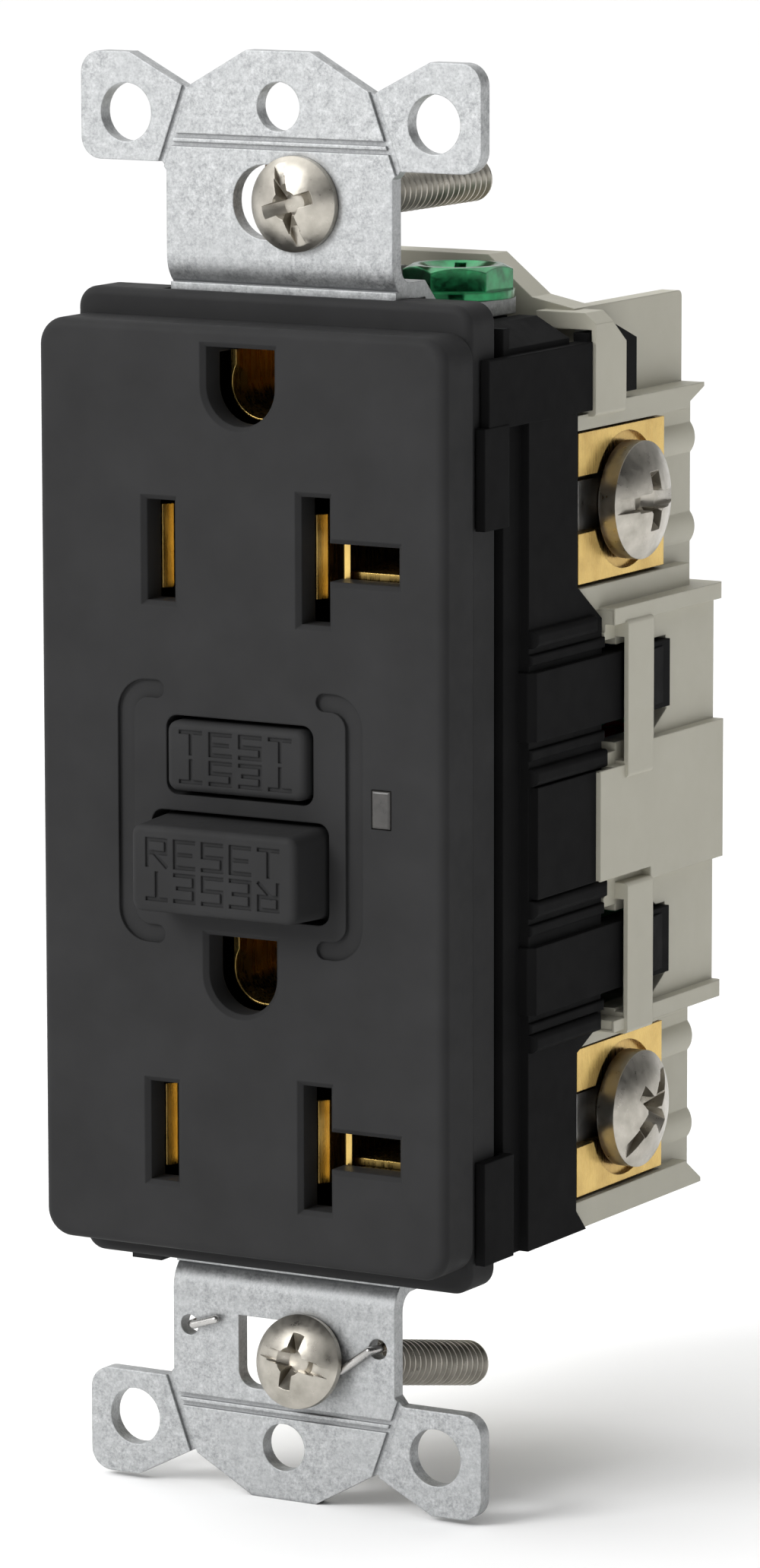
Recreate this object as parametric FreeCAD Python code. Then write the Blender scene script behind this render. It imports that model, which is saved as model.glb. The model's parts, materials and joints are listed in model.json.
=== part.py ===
"""GFCI receptacle with a wide decorator face, 20 A, side- and back-wired.

Frame, in millimetres: +X to the right and +Z up as seen from the front, the face looks along -Y.
The origin is the middle of the device on the front plane of the steel mounting strap, which is
also the middle of the two tapped holes that carry the wall plate.
"""
import os

import FreeCAD
import Part
from math import cos, radians, sin

Vec = FreeCAD.Vector
AXIS_X = Vec(1, 0, 0)
AXIS_Y = Vec(0, 1, 0)
AXIS_Z = Vec(0, 0, 1)

# ---- driving dimensions -------------------------------------------------------------------
FACE_WIDTH = 33.3
FACE_HEIGHT = 66.7
FACE_FRONT = -5.67
FACE_CORNER = 2.0
FACE_EDGE = 0.7
FACE_WALL = 2.2
SLOT_CHAMFER = 0.35
FLANGE_HALF_WIDTH = 16.1
FLANGE_HALF_HEIGHT = 35.2
FLANGE_FRONT = -1.2
FLANGE_REAR = 3.3

STRAP_THICKNESS = 1.2
STRAP_HALF_WIDTH = 9.25
STRAP_LENGTH = 104.6
STRAP_SEAT_Z = 35.05
STRAP_BEND_RADIUS = 2.5
STRAP_WEB_REAR = 16.2
PLATE_SCREW_Z = 48.4
PLATE_SCREW_RADIUS = 1.75
BOX_SCREW_Z = 41.65
EAR_HALF_WIDTH = 16.35
EAR_HOLE_X = 12.6
EAR_HOLE_Z = 47.6
EAR_HOLE_RADIUS = 2.1

BODY_HALF_WIDTH = 16.2
BODY_HALF_HEIGHT = 33.2
SEAM_AT_TERMINALS = 13.1
SEAM_AT_MIDDLE = 16.75
SEAM_GAP = 0.2
REAR_DEPTH = 33.9
REAR_END_DEPTH = 33.2
REAR_INNER_FACE = 31.9
REAR_HALF_WIDTH = 17.0
SIDE_PANEL_HALF_WIDTH = 16.9
SIDE_PANEL_FRONT = 5.9
SIDE_PAD_HALF_WIDTH = 17.5
MIDDLE_BLOCK_HALF_WIDTH = 17.85
MIDDLE_BLOCK_Z = (-8.55, 1.75)
MIDDLE_FLAP_Z = (-7.65, 0.4)
MIDDLE_RIB_Z = (11.35, -18.45)
END_RIB_HALF_WIDTH = 16.5
END_RIB_Z = (26.1, -32.3)
LOOP_THICKNESS = 0.35
LOOP_ARM = 1.2
REAR_TOP = 32.0
REAR_RIM_TOP = 33.4

BLADE_SPACING = 12.7
GROUND_OFFSET = 11.9
OUTLET_Z = (17.2, -24.75)

TEST_Z = (0.1, 5.3)
TEST_HALF_WIDTH = 5.8
TEST_FRONT = -6.3
RESET_Z = (-8.35, -1.55)
RESET_HALF_WIDTH = 7.05
RESET_FRONT = -9.5
RESET_AXIS_Z = -4.95
TEST_AXIS_Z = 2.7
LETTER_DEPTH = 0.15
LETTER_STROKE = 0.28
LAMP_X = 11.55
LAMP_Z = 0.05

TERMINAL_Z = (19.3, -25.5)
TERMINAL_HALF_HEIGHT = 5.45
TERMINAL_Y = (14.5, 27.5)
TERMINAL_INNER_X = 15.0
TERMINAL_OUTER_X = 16.2
TERMINAL_SCREW_Y = 21.7
TERMINAL_SCREW_RADIUS = 2.0
TERMINAL_SCREW_END_X = 11.4
TERMINAL_HEAD_RADIUS = 4.3
TERMINAL_HEAD_HEIGHT = 2.6
TERMINAL_HEAD_RIM = 1.35
WIRE_HOLE_X = 13.55
WIRE_HOLE_RADIUS = 1.45
WIRE_HOLE_OFFSET = 3.3
CLAMP_THICKNESS = 1.2

LATCH_TRAVEL = 1.5
SOLENOID_Y = 25.2
COIL_Z = -20.0
FIT = 0.05

BOX_SCREW_RADIUS = 1.7
BOX_SCREW_NECK_RADIUS = 1.45
BOX_SCREW_NECK = 3.8
BOX_SCREW_HEAD_RADIUS = 3.4
BOX_SCREW_HEAD_HEIGHT = 1.75
BOX_SCREW_HEAD_RIM = 0.5
BOX_SCREW_REACH = 25.8
UPPER_SCREW_X = 1.5
LOWER_SCREW_X = 1.9
BOX_SCREW_DROOP = 12.0
SLOT_ENDS = (-3.75, 3.92)
SLOT_HALF_HEIGHT = 2.65

GROUND_SCREW_X = 7.5
GROUND_SCREW_Y = 12.4
GROUND_SCREW_SEAT_Z = 34.32
CLIP_WIRE_RADIUS = 0.3

# Strokes of the capitals on the buttons, as x, z to x, z in a cell one wide and one high.
LETTER_STROKES = {
    "T": ((0, 1, 1, 1), (0.5, 0, 0.5, 1)),
    "E": ((0, 0, 0, 1), (0, 1, 1, 1), (0, 0.5, 0.85, 0.5), (0, 0, 1, 0)),
    "S": ((0, 1, 1, 1), (0, 0.5, 0, 1), (0, 0.5, 1, 0.5), (1, 0, 1, 0.5), (0, 0, 1, 0)),
    "R": ((0, 0, 0, 1), (0, 1, 1, 1), (1, 0.5, 1, 1), (0, 0.5, 1, 0.5), (0.35, 0.5, 1, 0)),
}


# ---- shape helpers ------------------------------------------------------------------------
def box(x, y, z):
    """Block between the two values given for each axis."""
    low = Vec(min(x), min(y), min(z))
    return Part.makeBox(abs(x[1] - x[0]), abs(y[1] - y[0]), abs(z[1] - z[0]), low)


def rod(start, axis, radius, length):
    return Part.makeCylinder(radius, length, Vec(*start), axis)


def fused(shapes):
    """One solid from many touching or overlapping ones."""
    first, rest = shapes[0], shapes[1:]
    return first.multiFuse(rest).removeSplitter() if rest else first


def mirror_x(shape):
    return shape.mirror(Vec(0, 0, 0), AXIS_X)


def mirror_z(shape):
    return shape.mirror(Vec(0, 0, 0), AXIS_Z)


def both_sides(shape):
    return [shape, mirror_x(shape)]


def prism_y(points, y0, y1):
    """Polygon of (x, z) points, extruded from y0 to y1."""
    corners = [Vec(x, y0, z) for x, z in points]
    face = Part.Face(Part.makePolygon(corners + corners[:1]))
    return face.extrude(Vec(0, y1 - y0, 0))


def prism_x(points, x0, x1):
    """Polygon of (y, z) points, extruded from x0 to x1."""
    corners = [Vec(x0, y, z) for y, z in points]
    face = Part.Face(Part.makePolygon(corners + corners[:1]))
    return face.extrude(Vec(x1 - x0, 0, 0))


def edges_along(shape, axis):
    """Straight edges that run along one axis."""
    found = []
    for edge in shape.Edges:
        if isinstance(edge.Curve, Part.Line) and abs(edge.tangentAt(edge.FirstParameter).dot(axis)) > 0.999:
            found.append(edge)
    return found


def edges_on_plane(shape, index, value):
    """Edges that lie wholly on the plane where coordinate number index has this value."""
    found = []
    for edge in shape.Edges:
        bounds = edge.BoundBox
        low = (bounds.XMin, bounds.YMin, bounds.ZMin)[index]
        high = (bounds.XMax, bounds.YMax, bounds.ZMax)[index]
        if abs(low - value) < 1e-4 and abs(high - value) < 1e-4:
            found.append(edge)
    return found


def plate_y(x, y, z, radius):
    """Block with rounded corners as seen from the front."""
    block = box(x, y, z)
    return block.makeFillet(radius, edges_along(block, AXIS_Y))


def slab_rounded(x, y, z, corner, front_edge):
    """Block with rounded corners and a rounded front rim."""
    block = plate_y(x, y, z, corner)
    return block.makeFillet(front_edge, edges_on_plane(block, 1, min(y)))


def through_hole(outline):
    """Straight cutter through the face wall from an outline drawn in the XZ plane."""
    cutter = Part.Face(outline).extrude(Vec(0, 8.0, 0))
    cutter.translate(Vec(0, FACE_FRONT - 1.0, 0))
    return cutter


def closed_wire(points):
    corners = [Vec(x, 0, z) for x, z in points]
    return Part.makePolygon(corners + corners[:1])


def rectangle_wire(x, z):
    return closed_wire([(x[0], z[0]), (x[1], z[0]), (x[1], z[1]), (x[0], z[1])])


def ring_y(centre_x, centre_z, y0, y1, outer, inner):
    tube = rod((centre_x, y0, centre_z), AXIS_Y, outer, y1 - y0)
    return tube.cut(rod((centre_x, y0 - 1, centre_z), AXIS_Y, inner, y1 - y0 + 2))


def coil_spring(centre_x, centre_z, y0, y1, radius, wire, turns):
    """Round-wire compression spring whose axis runs along Y."""
    pitch = (y1 - y0 - wire) / turns
    path = Part.makeHelix(pitch, y1 - y0 - wire, radius)
    profile = Part.Wire(Part.makeCircle(wire / 2, Vec(radius, 0, 0), AXIS_Y))
    spring = Part.Wire(path).makePipeShell([profile], True, True)
    spring.rotate(Vec(0, 0, 0), AXIS_X, -90)
    spring.translate(Vec(centre_x, y0 + wire / 2, centre_z))
    return spring


# ---- face cover ---------------------------------------------------------------------------
def ground_outline(centre_z, radius=2.8):
    """D shape: round towards the blades, flat on the far side."""
    top = centre_z + radius - 0.05
    left = Vec(-radius, 0, centre_z)
    right = Vec(radius, 0, centre_z)
    arc = Part.Arc(left, Vec(0, 0, centre_z - radius), right).toShape()
    side = Part.makeLine(right, Vec(radius, 0, top))
    flat = Part.makeLine(Vec(radius, 0, top), Vec(-radius, 0, top))
    back = Part.makeLine(Vec(-radius, 0, top), left)
    return Part.Wire([arc, side, flat, back])


def tee_outline(centre_z):
    """Neutral slot that takes both 15 A and 20 A plugs."""
    x = BLADE_SPACING / 2
    left, right, tip = x - 1.4, x + 0.9, x + 6.5
    half, arm = 4.5, 1.35
    return closed_wire([
        (left, centre_z - half), (right, centre_z - half), (right, centre_z - arm),
        (tip, centre_z - arm), (tip, centre_z + arm), (right, centre_z + arm),
        (right, centre_z + half), (left, centre_z + half),
    ])


def hot_outline(centre_z):
    x = -BLADE_SPACING / 2
    return rectangle_wire((x - 1.4, x + 0.9), (centre_z - 3.6, centre_z + 3.6))


def bracket_grooves():
    """Shallow moulded grooves, shaped like two square brackets round the buttons."""
    y = (FACE_FRONT - 0.1, FACE_FRONT + 0.3)
    outer = plate_y((-10.1, 10.0), y, (-11.0, 7.95), 2.4)
    inner = plate_y((-8.75, 8.65), (y[0] - 1, y[1] + 1), (-9.7, 6.65), 1.2)
    middle = box((-6.9, 6.9), (y[0] - 1, y[1] + 1), (-12, 9))
    grooves = outer.cut(inner).cut(middle)
    round_ends = [rod((x, y[0], z), AXIS_Y, 0.65, y[1] - y[0]) for x in (-6.9, 6.9) for z in (7.3, -10.35)]
    return fused([grooves] + round_ends)


def face_cover():
    half_width, half_height = FACE_WIDTH / 2, FACE_HEIGHT / 2
    block = slab_rounded((-half_width, half_width), (FACE_FRONT, -1.7),
                         (-half_height, half_height), FACE_CORNER, FACE_EDGE)
    neck = plate_y((-15.6, 15.6), (-1.9, 0.5), (-32.8, 32.8), 1.6)
    flange = slab_rounded((-FLANGE_HALF_WIDTH, FLANGE_HALF_WIDTH), (FLANGE_FRONT, FLANGE_REAR),
                          (-FLANGE_HALF_HEIGHT, FLANGE_HALF_HEIGHT), 1.5, 0.6)
    rim = edges_on_plane(flange, 1, FLANGE_REAR)
    ends = [edge for edge in rim if abs(abs(edge.CenterOfMass.z) - FLANGE_HALF_HEIGHT) < 0.01]
    flange = flange.makeChamfer(1.0, ends)
    cover = fused([block, neck, flange])

    hollow = box((-14.7, 14.7), (FACE_FRONT + FACE_WALL, FLANGE_REAR + 1), (-31.3, 31.3))
    rear_hollow = box((-14.7, 14.7), (0.6, FLANGE_REAR + 1), (-33.7, 33.7))
    cover = cover.cut(hollow).cut(rear_hollow)
    for sign in (-1, 1):
        cover = cover.cut(box((-9.45, 9.45), (-0.25, 4.0), (sign * 35.0, sign * 36.0)))
    foot = box((-12.5, -10.0), (-0.4, 1.4), (-35.6, -34.9))
    cover = cover.fuse(foot)

    slots = []
    for z in OUTLET_Z:
        slots += [through_hole(hot_outline(z)), through_hole(tee_outline(z))]
        slots.append(through_hole(ground_outline(z + GROUND_OFFSET)))
    cover = cover.cut(slots)
    mouths = [edge for edge in edges_on_plane(cover, 1, FACE_FRONT) if abs(edge.CenterOfMass.x) < 14.0
              and abs(edge.CenterOfMass.z) < 32.4]
    cover = cover.makeChamfer(SLOT_CHAMFER, mouths)

    test_window = plate_y((-6.05, 6.05), (-7, 0), (TEST_Z[0] - 0.25, TEST_Z[1] + 0.25), 0.9)
    reset_window = plate_y((-7.3, 7.3), (-7, 0), (RESET_Z[0] - 0.25, RESET_Z[1] + 0.25), 0.9)
    lamp_window = box((LAMP_X - 0.8, LAMP_X + 0.8), (-7, 0), (LAMP_Z - 1.4, LAMP_Z + 1.4))
    return cover.cut([bracket_grooves(), test_window, reset_window, lamp_window]).removeSplitter()


# ---- black front housing ------------------------------------------------------------------
def snap_tab(z_low, z_high, y_end):
    """Side tab that runs back under a loop of the rear housing, with a hooked end."""
    outer = 17.45
    beam = box((15.55, outer), (5.6, y_end), (z_low, z_high))
    front = [e for e in beam.Edges
             if abs(e.CenterOfMass.y - 5.6) < 1e-4 and abs(e.CenterOfMass.x - outer) < 1e-4]
    beam = beam.makeChamfer(0.5, front)
    profile = [(outer - 0.1, 22.65), (17.7, 22.65), (17.7, 23.4), (outer - 0.1, y_end - 0.3)]
    corners = [Vec(x, y, z_low + 0.4) for x, y in profile]
    hook = Part.Face(Part.makePolygon(corners + corners[:1])).extrude(Vec(0, 0, z_high - z_low - 0.8))
    return beam.fuse(hook)


def side_rib(z, y_end, width, rise):
    """Raised moulding line along the side panel."""
    outer = SIDE_PANEL_HALF_WIDTH + rise
    bar = box((16.0, outer), (SIDE_PANEL_FRONT, y_end), (z - width / 2, z + width / 2))
    top = [e for e in bar.Edges if abs(e.CenterOfMass.x - outer) < 1e-4]
    return bar.makeFillet(rise * 0.7, top)


def upper_catch():
    """Bar under the upper loop of the rear housing, and the sloping hook behind the loop."""
    bar = box((15.6, 16.95), (3.5, 15.2), (26.4, 31.3))
    hook = prism_x([(15.0, 27.2), (22.4, 27.2), (22.4, 31.0), (19.2, 32.2), (18.8, 32.2), (18.8, 31.9),
                    (15.0, 31.9)], 15.5, 16.65)
    return [bar, hook]


def side_details():
    """Everything that stands out of the right side of the front housing."""
    bar_front = box((16.25, 16.95), (0.1, 4.0), (26.4, 31.3))
    upper_leg = box((16.25, 17.0), (-0.6, 2.9), (19.4, 26.6))
    lower_leg = box((16.25, 17.0), (-0.6, 3.1), (-33.0, -25.6))
    lower_root = box((16.0, 17.0), (3.0, 3.6), (-33.0, -25.6))
    pad = box((16.5, SIDE_PAD_HALF_WIDTH), (6.2, 14.85), MIDDLE_FLAP_Z)
    pieces = upper_catch() + [bar_front, upper_leg, lower_leg, lower_root, pad]
    pieces.append(snap_tab(3.7, 8.65, 26.2))
    pieces.append(snap_tab(-16.0, -11.1, 26.2))
    for z, y_end in ((11.0, 15.3), (1.1, 16.9), (-8.4, 16.9), (-18.1, 16.0)):
        pieces.append(side_rib(z, y_end, 1.3, 0.6))
    for z in (9.5, 2.7, -9.9, -17.0):
        pieces.append(side_rib(z, 16.9, 0.8, 0.25))
    return pieces


def side_wall_outline(gap=0.0, front=3.45):
    """Profile of the side wall in (y, z): it reaches further back between the terminals."""
    near, far = SEAM_AT_TERMINALS + gap, SEAM_AT_MIDDLE + gap
    return [(front, -33.2), (near + 1.5, -33.2), (near, -31.6), (near, -20.0 - gap), (far, -18.3 - gap),
            (far, 11.25 + gap), (near, 13.9 + gap), (near, 33.2), (front, 33.2)]


def front_housing():
    """Moulding that holds the contacts, closed by a wall in front of the strap's web."""
    core = box((-BODY_HALF_WIDTH, BODY_HALF_WIDTH), (3.45, SEAM_AT_TERMINALS), (-33.2, 33.2))
    core = core.makeFillet(0.5, edges_along(core, AXIS_Y))
    pad = box((-12.0, 12.0), (3.45, 13.3), (-34.85, 34.85))
    rear_wall = box((-10.2, 10.2), (12.0, 14.8), (-33.0, 33.0))
    rear_wall_middle = box((-14.8, 14.8), (12.0, 14.8), (-18.4, 11.0))
    sides = both_sides(prism_x(side_wall_outline(), 14.8, BODY_HALF_WIDTH))
    panel = prism_x(side_wall_outline(front=SIDE_PANEL_FRONT), 16.0, SIDE_PANEL_HALF_WIDTH)
    panel = panel.common(box((15, 18), (0, 30), (-40, 26.5)))
    sides += both_sides(panel)
    body = fused([core, pad, rear_wall, rear_wall_middle] + sides)

    chamber = box((-14.6, 14.6), (3.0, 12.4), (-31.6, 31.6))
    body = body.cut(chamber)
    recess = box((2.6, 12.1), (4.4, 15.0), (32.92, 36.0))
    slope = prism_y([(16.6, 31.5), (16.6, 36.0), (13.2, 36.0), (13.2, 33.4)], 4.3, 20.0)
    body = body.cut([recess, slope, mirror_x(slope)])

    spring_post = rod((0, 5.0, RESET_AXIS_Z), AXIS_Y, 3.6, 7.6)
    test_post = rod((0, 5.0, TEST_AXIS_Z), AXIS_Y, 2.9, 7.6)
    details = side_details()
    body = fused([body, spring_post, test_post] + details + [mirror_x(d) for d in details])

    cutters = [
        rod((0, 4.0, RESET_AXIS_Z), AXIS_Y, 2.7, 4.0),
        rod((0, 4.0, RESET_AXIS_Z), AXIS_Y, 1.3, 14.0),
        rod((0, 4.0, TEST_AXIS_Z), AXIS_Y, 1.3, 5.0),
        box((-1.3, 1.3), (5.3, 6.6), (1.2, 6.0)),
        rod((LAMP_X, 4.0, LAMP_Z), AXIS_Y, 1.35, 14.0),
    ]
    for x in (-11.5, 11.5):
        cutters.append(box((x - 0.75, x + 0.75), (10, 16), (-6.2, -2.8)))
    for sign in (-1, 1):
        cutters.append(box((sign * 12.1, sign * 13.7), (10, 14), (17.8, 21.4)))
    for z in OUTLET_Z:
        rivet_z = z + GROUND_OFFSET
        cutters.append(box((-1.7, 1.7), (12, 16), (rivet_z - 1.0, rivet_z + 1.0)))
    return body.cut(cutters).removeSplitter()


# ---- beige rear housing -------------------------------------------------------------------
def terminal_zone(index):
    """Height range of one row of terminals."""
    centre = TERMINAL_Z[index]
    return (centre - TERMINAL_HALF_HEIGHT - 0.25, centre + TERMINAL_HALF_HEIGHT + 0.25)


def wire_hole_heights():
    heights = []
    for z in TERMINAL_Z:
        heights += [z - WIRE_HOLE_OFFSET, z + WIRE_HOLE_OFFSET]
    return heights


def side_loop(z_low, z_high, x_inner, x_outer, y):
    """Snap loop: an upright strip joined to the body above and below the tab it holds."""
    strip = box((x_outer - LOOP_THICKNESS, x_outer), y, (z_low, z_high))
    foot = box((x_inner, x_outer), y, (z_low, z_low + LOOP_ARM))
    head = box((x_inner, x_outer), y, (z_high - LOOP_ARM, z_high))
    loop = fused([strip, foot, head])
    corners = [e for e in edges_along(loop, AXIS_Y) if abs(e.CenterOfMass.x - x_outer) < 1e-4]
    return loop.makeFillet(0.3, corners)


def loop_window(z_low, z_high):
    """Opening under a loop, with a trapezoid end behind it where the black tab shows."""
    lower = [(16.0, z_low - 0.6), (18.7, z_low - 0.6), (18.7, z_low), (24.2, z_low), (26.5, z_low + 1.45)]
    upper = [(26.5, z_high - 1.45), (24.2, z_high), (18.7, z_high), (18.7, z_high + 0.5),
             (16.0, z_high + 0.5)]
    return prism_x(lower + upper, 15.0, 18.5)


def rear_rib(z, half_width, depth, thickness, front):
    """Barrier beside a row of terminals, with a slightly sloping edge at the back."""
    rib = box((-half_width, half_width), (front, depth), (z - thickness / 2, z + thickness / 2))
    rear = [e for e in edges_along(rib, AXIS_Z) if abs(e.CenterOfMass.y - depth) < 1e-4]
    return rib.makeFillet(0.5, rear)


def end_rib(index):
    """Rib at one end of the body, whose rear edge slopes away from the terminals."""
    z = END_RIB_Z[index]
    half = 0.6 if index == 0 else 0.9
    outward = 1 if index == 0 else -1
    points = [(16.7, z - outward * half), (REAR_END_DEPTH - 2.2, z - outward * half),
              (REAR_END_DEPTH, z + outward * (half - 0.3)), (REAR_END_DEPTH, z + outward * half),
              (16.7, z + outward * half)]
    return prism_x(points, -END_RIB_HALF_WIDTH, END_RIB_HALF_WIDTH)


def rear_shell():
    middle = box((-REAR_HALF_WIDTH, REAR_HALF_WIDTH), (16.8, REAR_DEPTH), (-18.9, 11.8))
    block = box((-MIDDLE_BLOCK_HALF_WIDTH, MIDDLE_BLOCK_HALF_WIDTH), (22.6, REAR_DEPTH), MIDDLE_BLOCK_Z)
    flaps = both_sides(box((16.4, MIDDLE_BLOCK_HALF_WIDTH), (14.9, 22.7), MIDDLE_FLAP_Z))
    ends = box((-15.35, 15.35), (16.7, REAR_END_DEPTH), (-33.2, 26.6))
    cheeks = both_sides(box((10.6, 15.35), (13.3, 16.8), (-33.2, -18.9)))
    cheeks += both_sides(box((10.6, 15.35), (13.3, 16.8), (11.8, 26.6)))
    top = box((-14.6, 14.6), (16.8, REAR_END_DEPTH), (26.0, REAR_TOP))
    rim = box((13.2, 14.6), (16.8, REAR_END_DEPTH), (REAR_TOP - 1.0, REAR_RIM_TOP))
    corners = [e for e in edges_along(rim, AXIS_X) if e.CenterOfMass.z > REAR_TOP]
    rim = rim.makeFillet(0.5, [e for e in corners if e.CenterOfMass.y > REAR_END_DEPTH - 0.1])
    pieces = [middle, block, ends, top, end_rib(0), end_rib(1)] + flaps + cheeks + both_sides(rim)
    for z in MIDDLE_RIB_Z:
        pieces.append(rear_rib(z, MIDDLE_BLOCK_HALF_WIDTH, REAR_DEPTH, 1.2, 17.0))
    return pieces


def upstand():
    """Raised wall behind the ground screw, with sloping shoulders."""
    half = [(14.6, 31.0), (14.6, REAR_RIM_TOP), (11.1, 34.1), (7.5, 37.0)]
    points = half + [(-x, z) for x, z in reversed(half)]
    return prism_y(points, 16.8, 19.6)


def pocket_frame(sign, index):
    """Surfaces above and below a terminal plate, which run on to the nearest ribs."""
    low, high = terminal_zone(index)
    ends = [(low, MIDDLE_RIB_Z[0]), (high, END_RIB_Z[0])]
    if index == 1:
        ends = [(low, -33.2), (high, MIDDLE_RIB_Z[1])]
    ledges = [box((sign * 10.6, sign * END_RIB_HALF_WIDTH), (13.35, REAR_END_DEPTH - 2.2), z) for z in ends]
    wall = prism_x(side_wall_outline(SEAM_GAP), sign * 10.0, sign * 18.0)
    return [ledge.cut(wall) for ledge in ledges]


def scallops(sign):
    """Round outer walls of the back-wire holes."""
    return [rod((sign * 14.0, 27.3, z), AXIS_Y, 1.75, REAR_END_DEPTH - 27.3) for z in wire_hole_heights()]


def snap_loops():
    """Three loops on the right side that hold the tabs of the front housing."""
    loops = [side_loop(-0.55, 10.9, 16.95, 18.1, (18.6, 22.5)),
             side_loop(-19.4, -8.3, 16.95, 18.1, (18.6, 22.5)),
             side_loop(25.9, 33.3, 12.2, 17.1, (15.4, 20.0))]
    bevel = prism_y([(15.4, 34.0), (17.8, 34.0), (17.8, 31.9)], 15.0, 21.0)
    rear_bevel = prism_x([(18.1, 34.0), (18.1, 32.45), (20.1, 30.9), (21.0, 30.9), (21.0, 34.0)], 12.0, 18.0)
    loops[2] = loops[2].cut([bevel, rear_bevel])
    return loops


def rear_cavities():
    """Room for the mechanism: wide between the terminals, narrow beside them."""
    cutters = [
        box((-15.2, 15.2), (10.0, REAR_INNER_FACE), (-18.3, 10.9)),
        box((-9.6, 9.6), (10.0, REAR_INNER_FACE), (-31.2, 31.1)),
    ]
    for sign in (-1, 1):
        for index in (0, 1):
            low, high = terminal_zone(index)
            cutters.append(box((sign * 10.8, sign * 19.0), (13.0, TERMINAL_Y[1] + 0.1), (low, high)))
        for z in wire_hole_heights():
            cutters.append(rod((sign * WIRE_HOLE_X, 26.0, z), AXIS_Y, WIRE_HOLE_RADIUS, 9.0))
        cutters.append(box((sign * 9.0, sign * 11.0), (15.9, 20.1), (-31.35, -30.15)))
    return cutters


def rear_housing():
    pieces = rear_shell() + [upstand()]
    for sign in (-1, 1):
        pieces += scallops(sign)
        pieces += pocket_frame(sign, 0) + pocket_frame(sign, 1)
    housing = fused(pieces).cut(rear_cavities())

    cutters = []
    seam = prism_x(side_wall_outline(SEAM_GAP), 14.6, SIDE_PANEL_HALF_WIDTH + SEAM_GAP)
    beam_room = [box((15.3, 17.55), (14.0, 26.35), z) for z in ((3.5, 8.85), (-16.2, -10.9))]
    rib_room = [box((16.4, 17.7), (14.0, 17.1), (z - 0.8, z + 0.8)) for z in (11.0, 1.1, -8.4, -18.1)]
    catch_room = box((15.36, 17.0), (14.0, 25.0), (26.7, 33.0))
    windows = [loop_window(1.95, 9.1), loop_window(-17.6, -10.4)]
    for cutter in [seam, catch_room] + windows + beam_room + rib_room:
        cutters += both_sides(cutter)
    housing = housing.cut(cutters)

    loops = snap_loops()
    return fused([housing] + loops + [mirror_x(loop) for loop in loops])


def separator():
    """Insulating plate between the strap's web and the moving contacts."""
    middle = box((-14.7, 14.7), (16.45, 17.3), (-18.1, 10.7))
    ends = box((-9.4, 9.4), (16.45, 17.3), (-31.0, 31.0))
    sheet = fused([middle, ends])
    cutters = [rod((0, 16, RESET_AXIS_Z), AXIS_Y, 1.6, 2), rod((LAMP_X, 16, LAMP_Z), AXIS_Y, 1.45, 2)]
    for x in (-11.5, 11.5):
        cutters.append(box((x - 0.8, x + 0.8), (16, 18), (-6.3, -2.7)))
    return sheet.cut(cutters)


# ---- mounting strap -----------------------------------------------------------------------
def strap_end_outline():
    """Upper end of the strap as seen from the front: tongue, two ears and the shank below."""
    half = [(2.65, 52.3), (7.65, 49.5), (12.3, 51.9), (EAR_HALF_WIDTH, 51.9), (EAR_HALF_WIDTH, 44.2),
            (9.75, 44.2), (STRAP_HALF_WIDTH, 43.6), (STRAP_HALF_WIDTH, 37.55)]
    return half + [(-x, z) for x, z in reversed(half)]


def ear_corners(plate):
    corners = []
    for edge in edges_along(plate, AXIS_Y):
        if abs(abs(edge.CenterOfMass.x) - EAR_HALF_WIDTH) < 1e-3:
            corners.append(edge)
    return corners


def break_off_scores():
    """Creased lines where the ears snap off, and two across the tongue."""
    cutters = []
    half, depth = 0.3, 0.25
    top, bottom = (7.44, 50.2), (9.97, 43.3)
    for sign in (-1, 1):
        points = [(top[0] - half, top[1]), (top[0] + half, top[1]),
                  (bottom[0] + half, bottom[1]), (bottom[0] - half, bottom[1])]
        cutters.append(prism_y([(sign * x, z) for x, z in points], -0.1, depth))
    for z in (45.5, 46.1):
        cutters.append(box((-9.1, 9.1), (-0.1, 0.25), (z - 0.17, z + 0.17)))
    return cutters


def quarter_bend(y, z, sign, x, start, inner, outer):
    """Bent strip: a quarter ring about the X axis through (y, z)."""
    ring = Part.makeCylinder(outer, x[1] - x[0], Vec(x[0], y, z), AXIS_X)
    ring = ring.cut(Part.makeCylinder(inner, x[1] - x[0] + 2, Vec(x[0] - 1, y, z), AXIS_X))
    far = outer + 1
    ys = (y - far, y) if start == "front" else (y, y + far)
    zs = (z - sign * far, z) if start == "front" else (z, z + sign * far)
    return ring.common(box((x[0] - 1, x[1] + 1), ys, zs))


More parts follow.
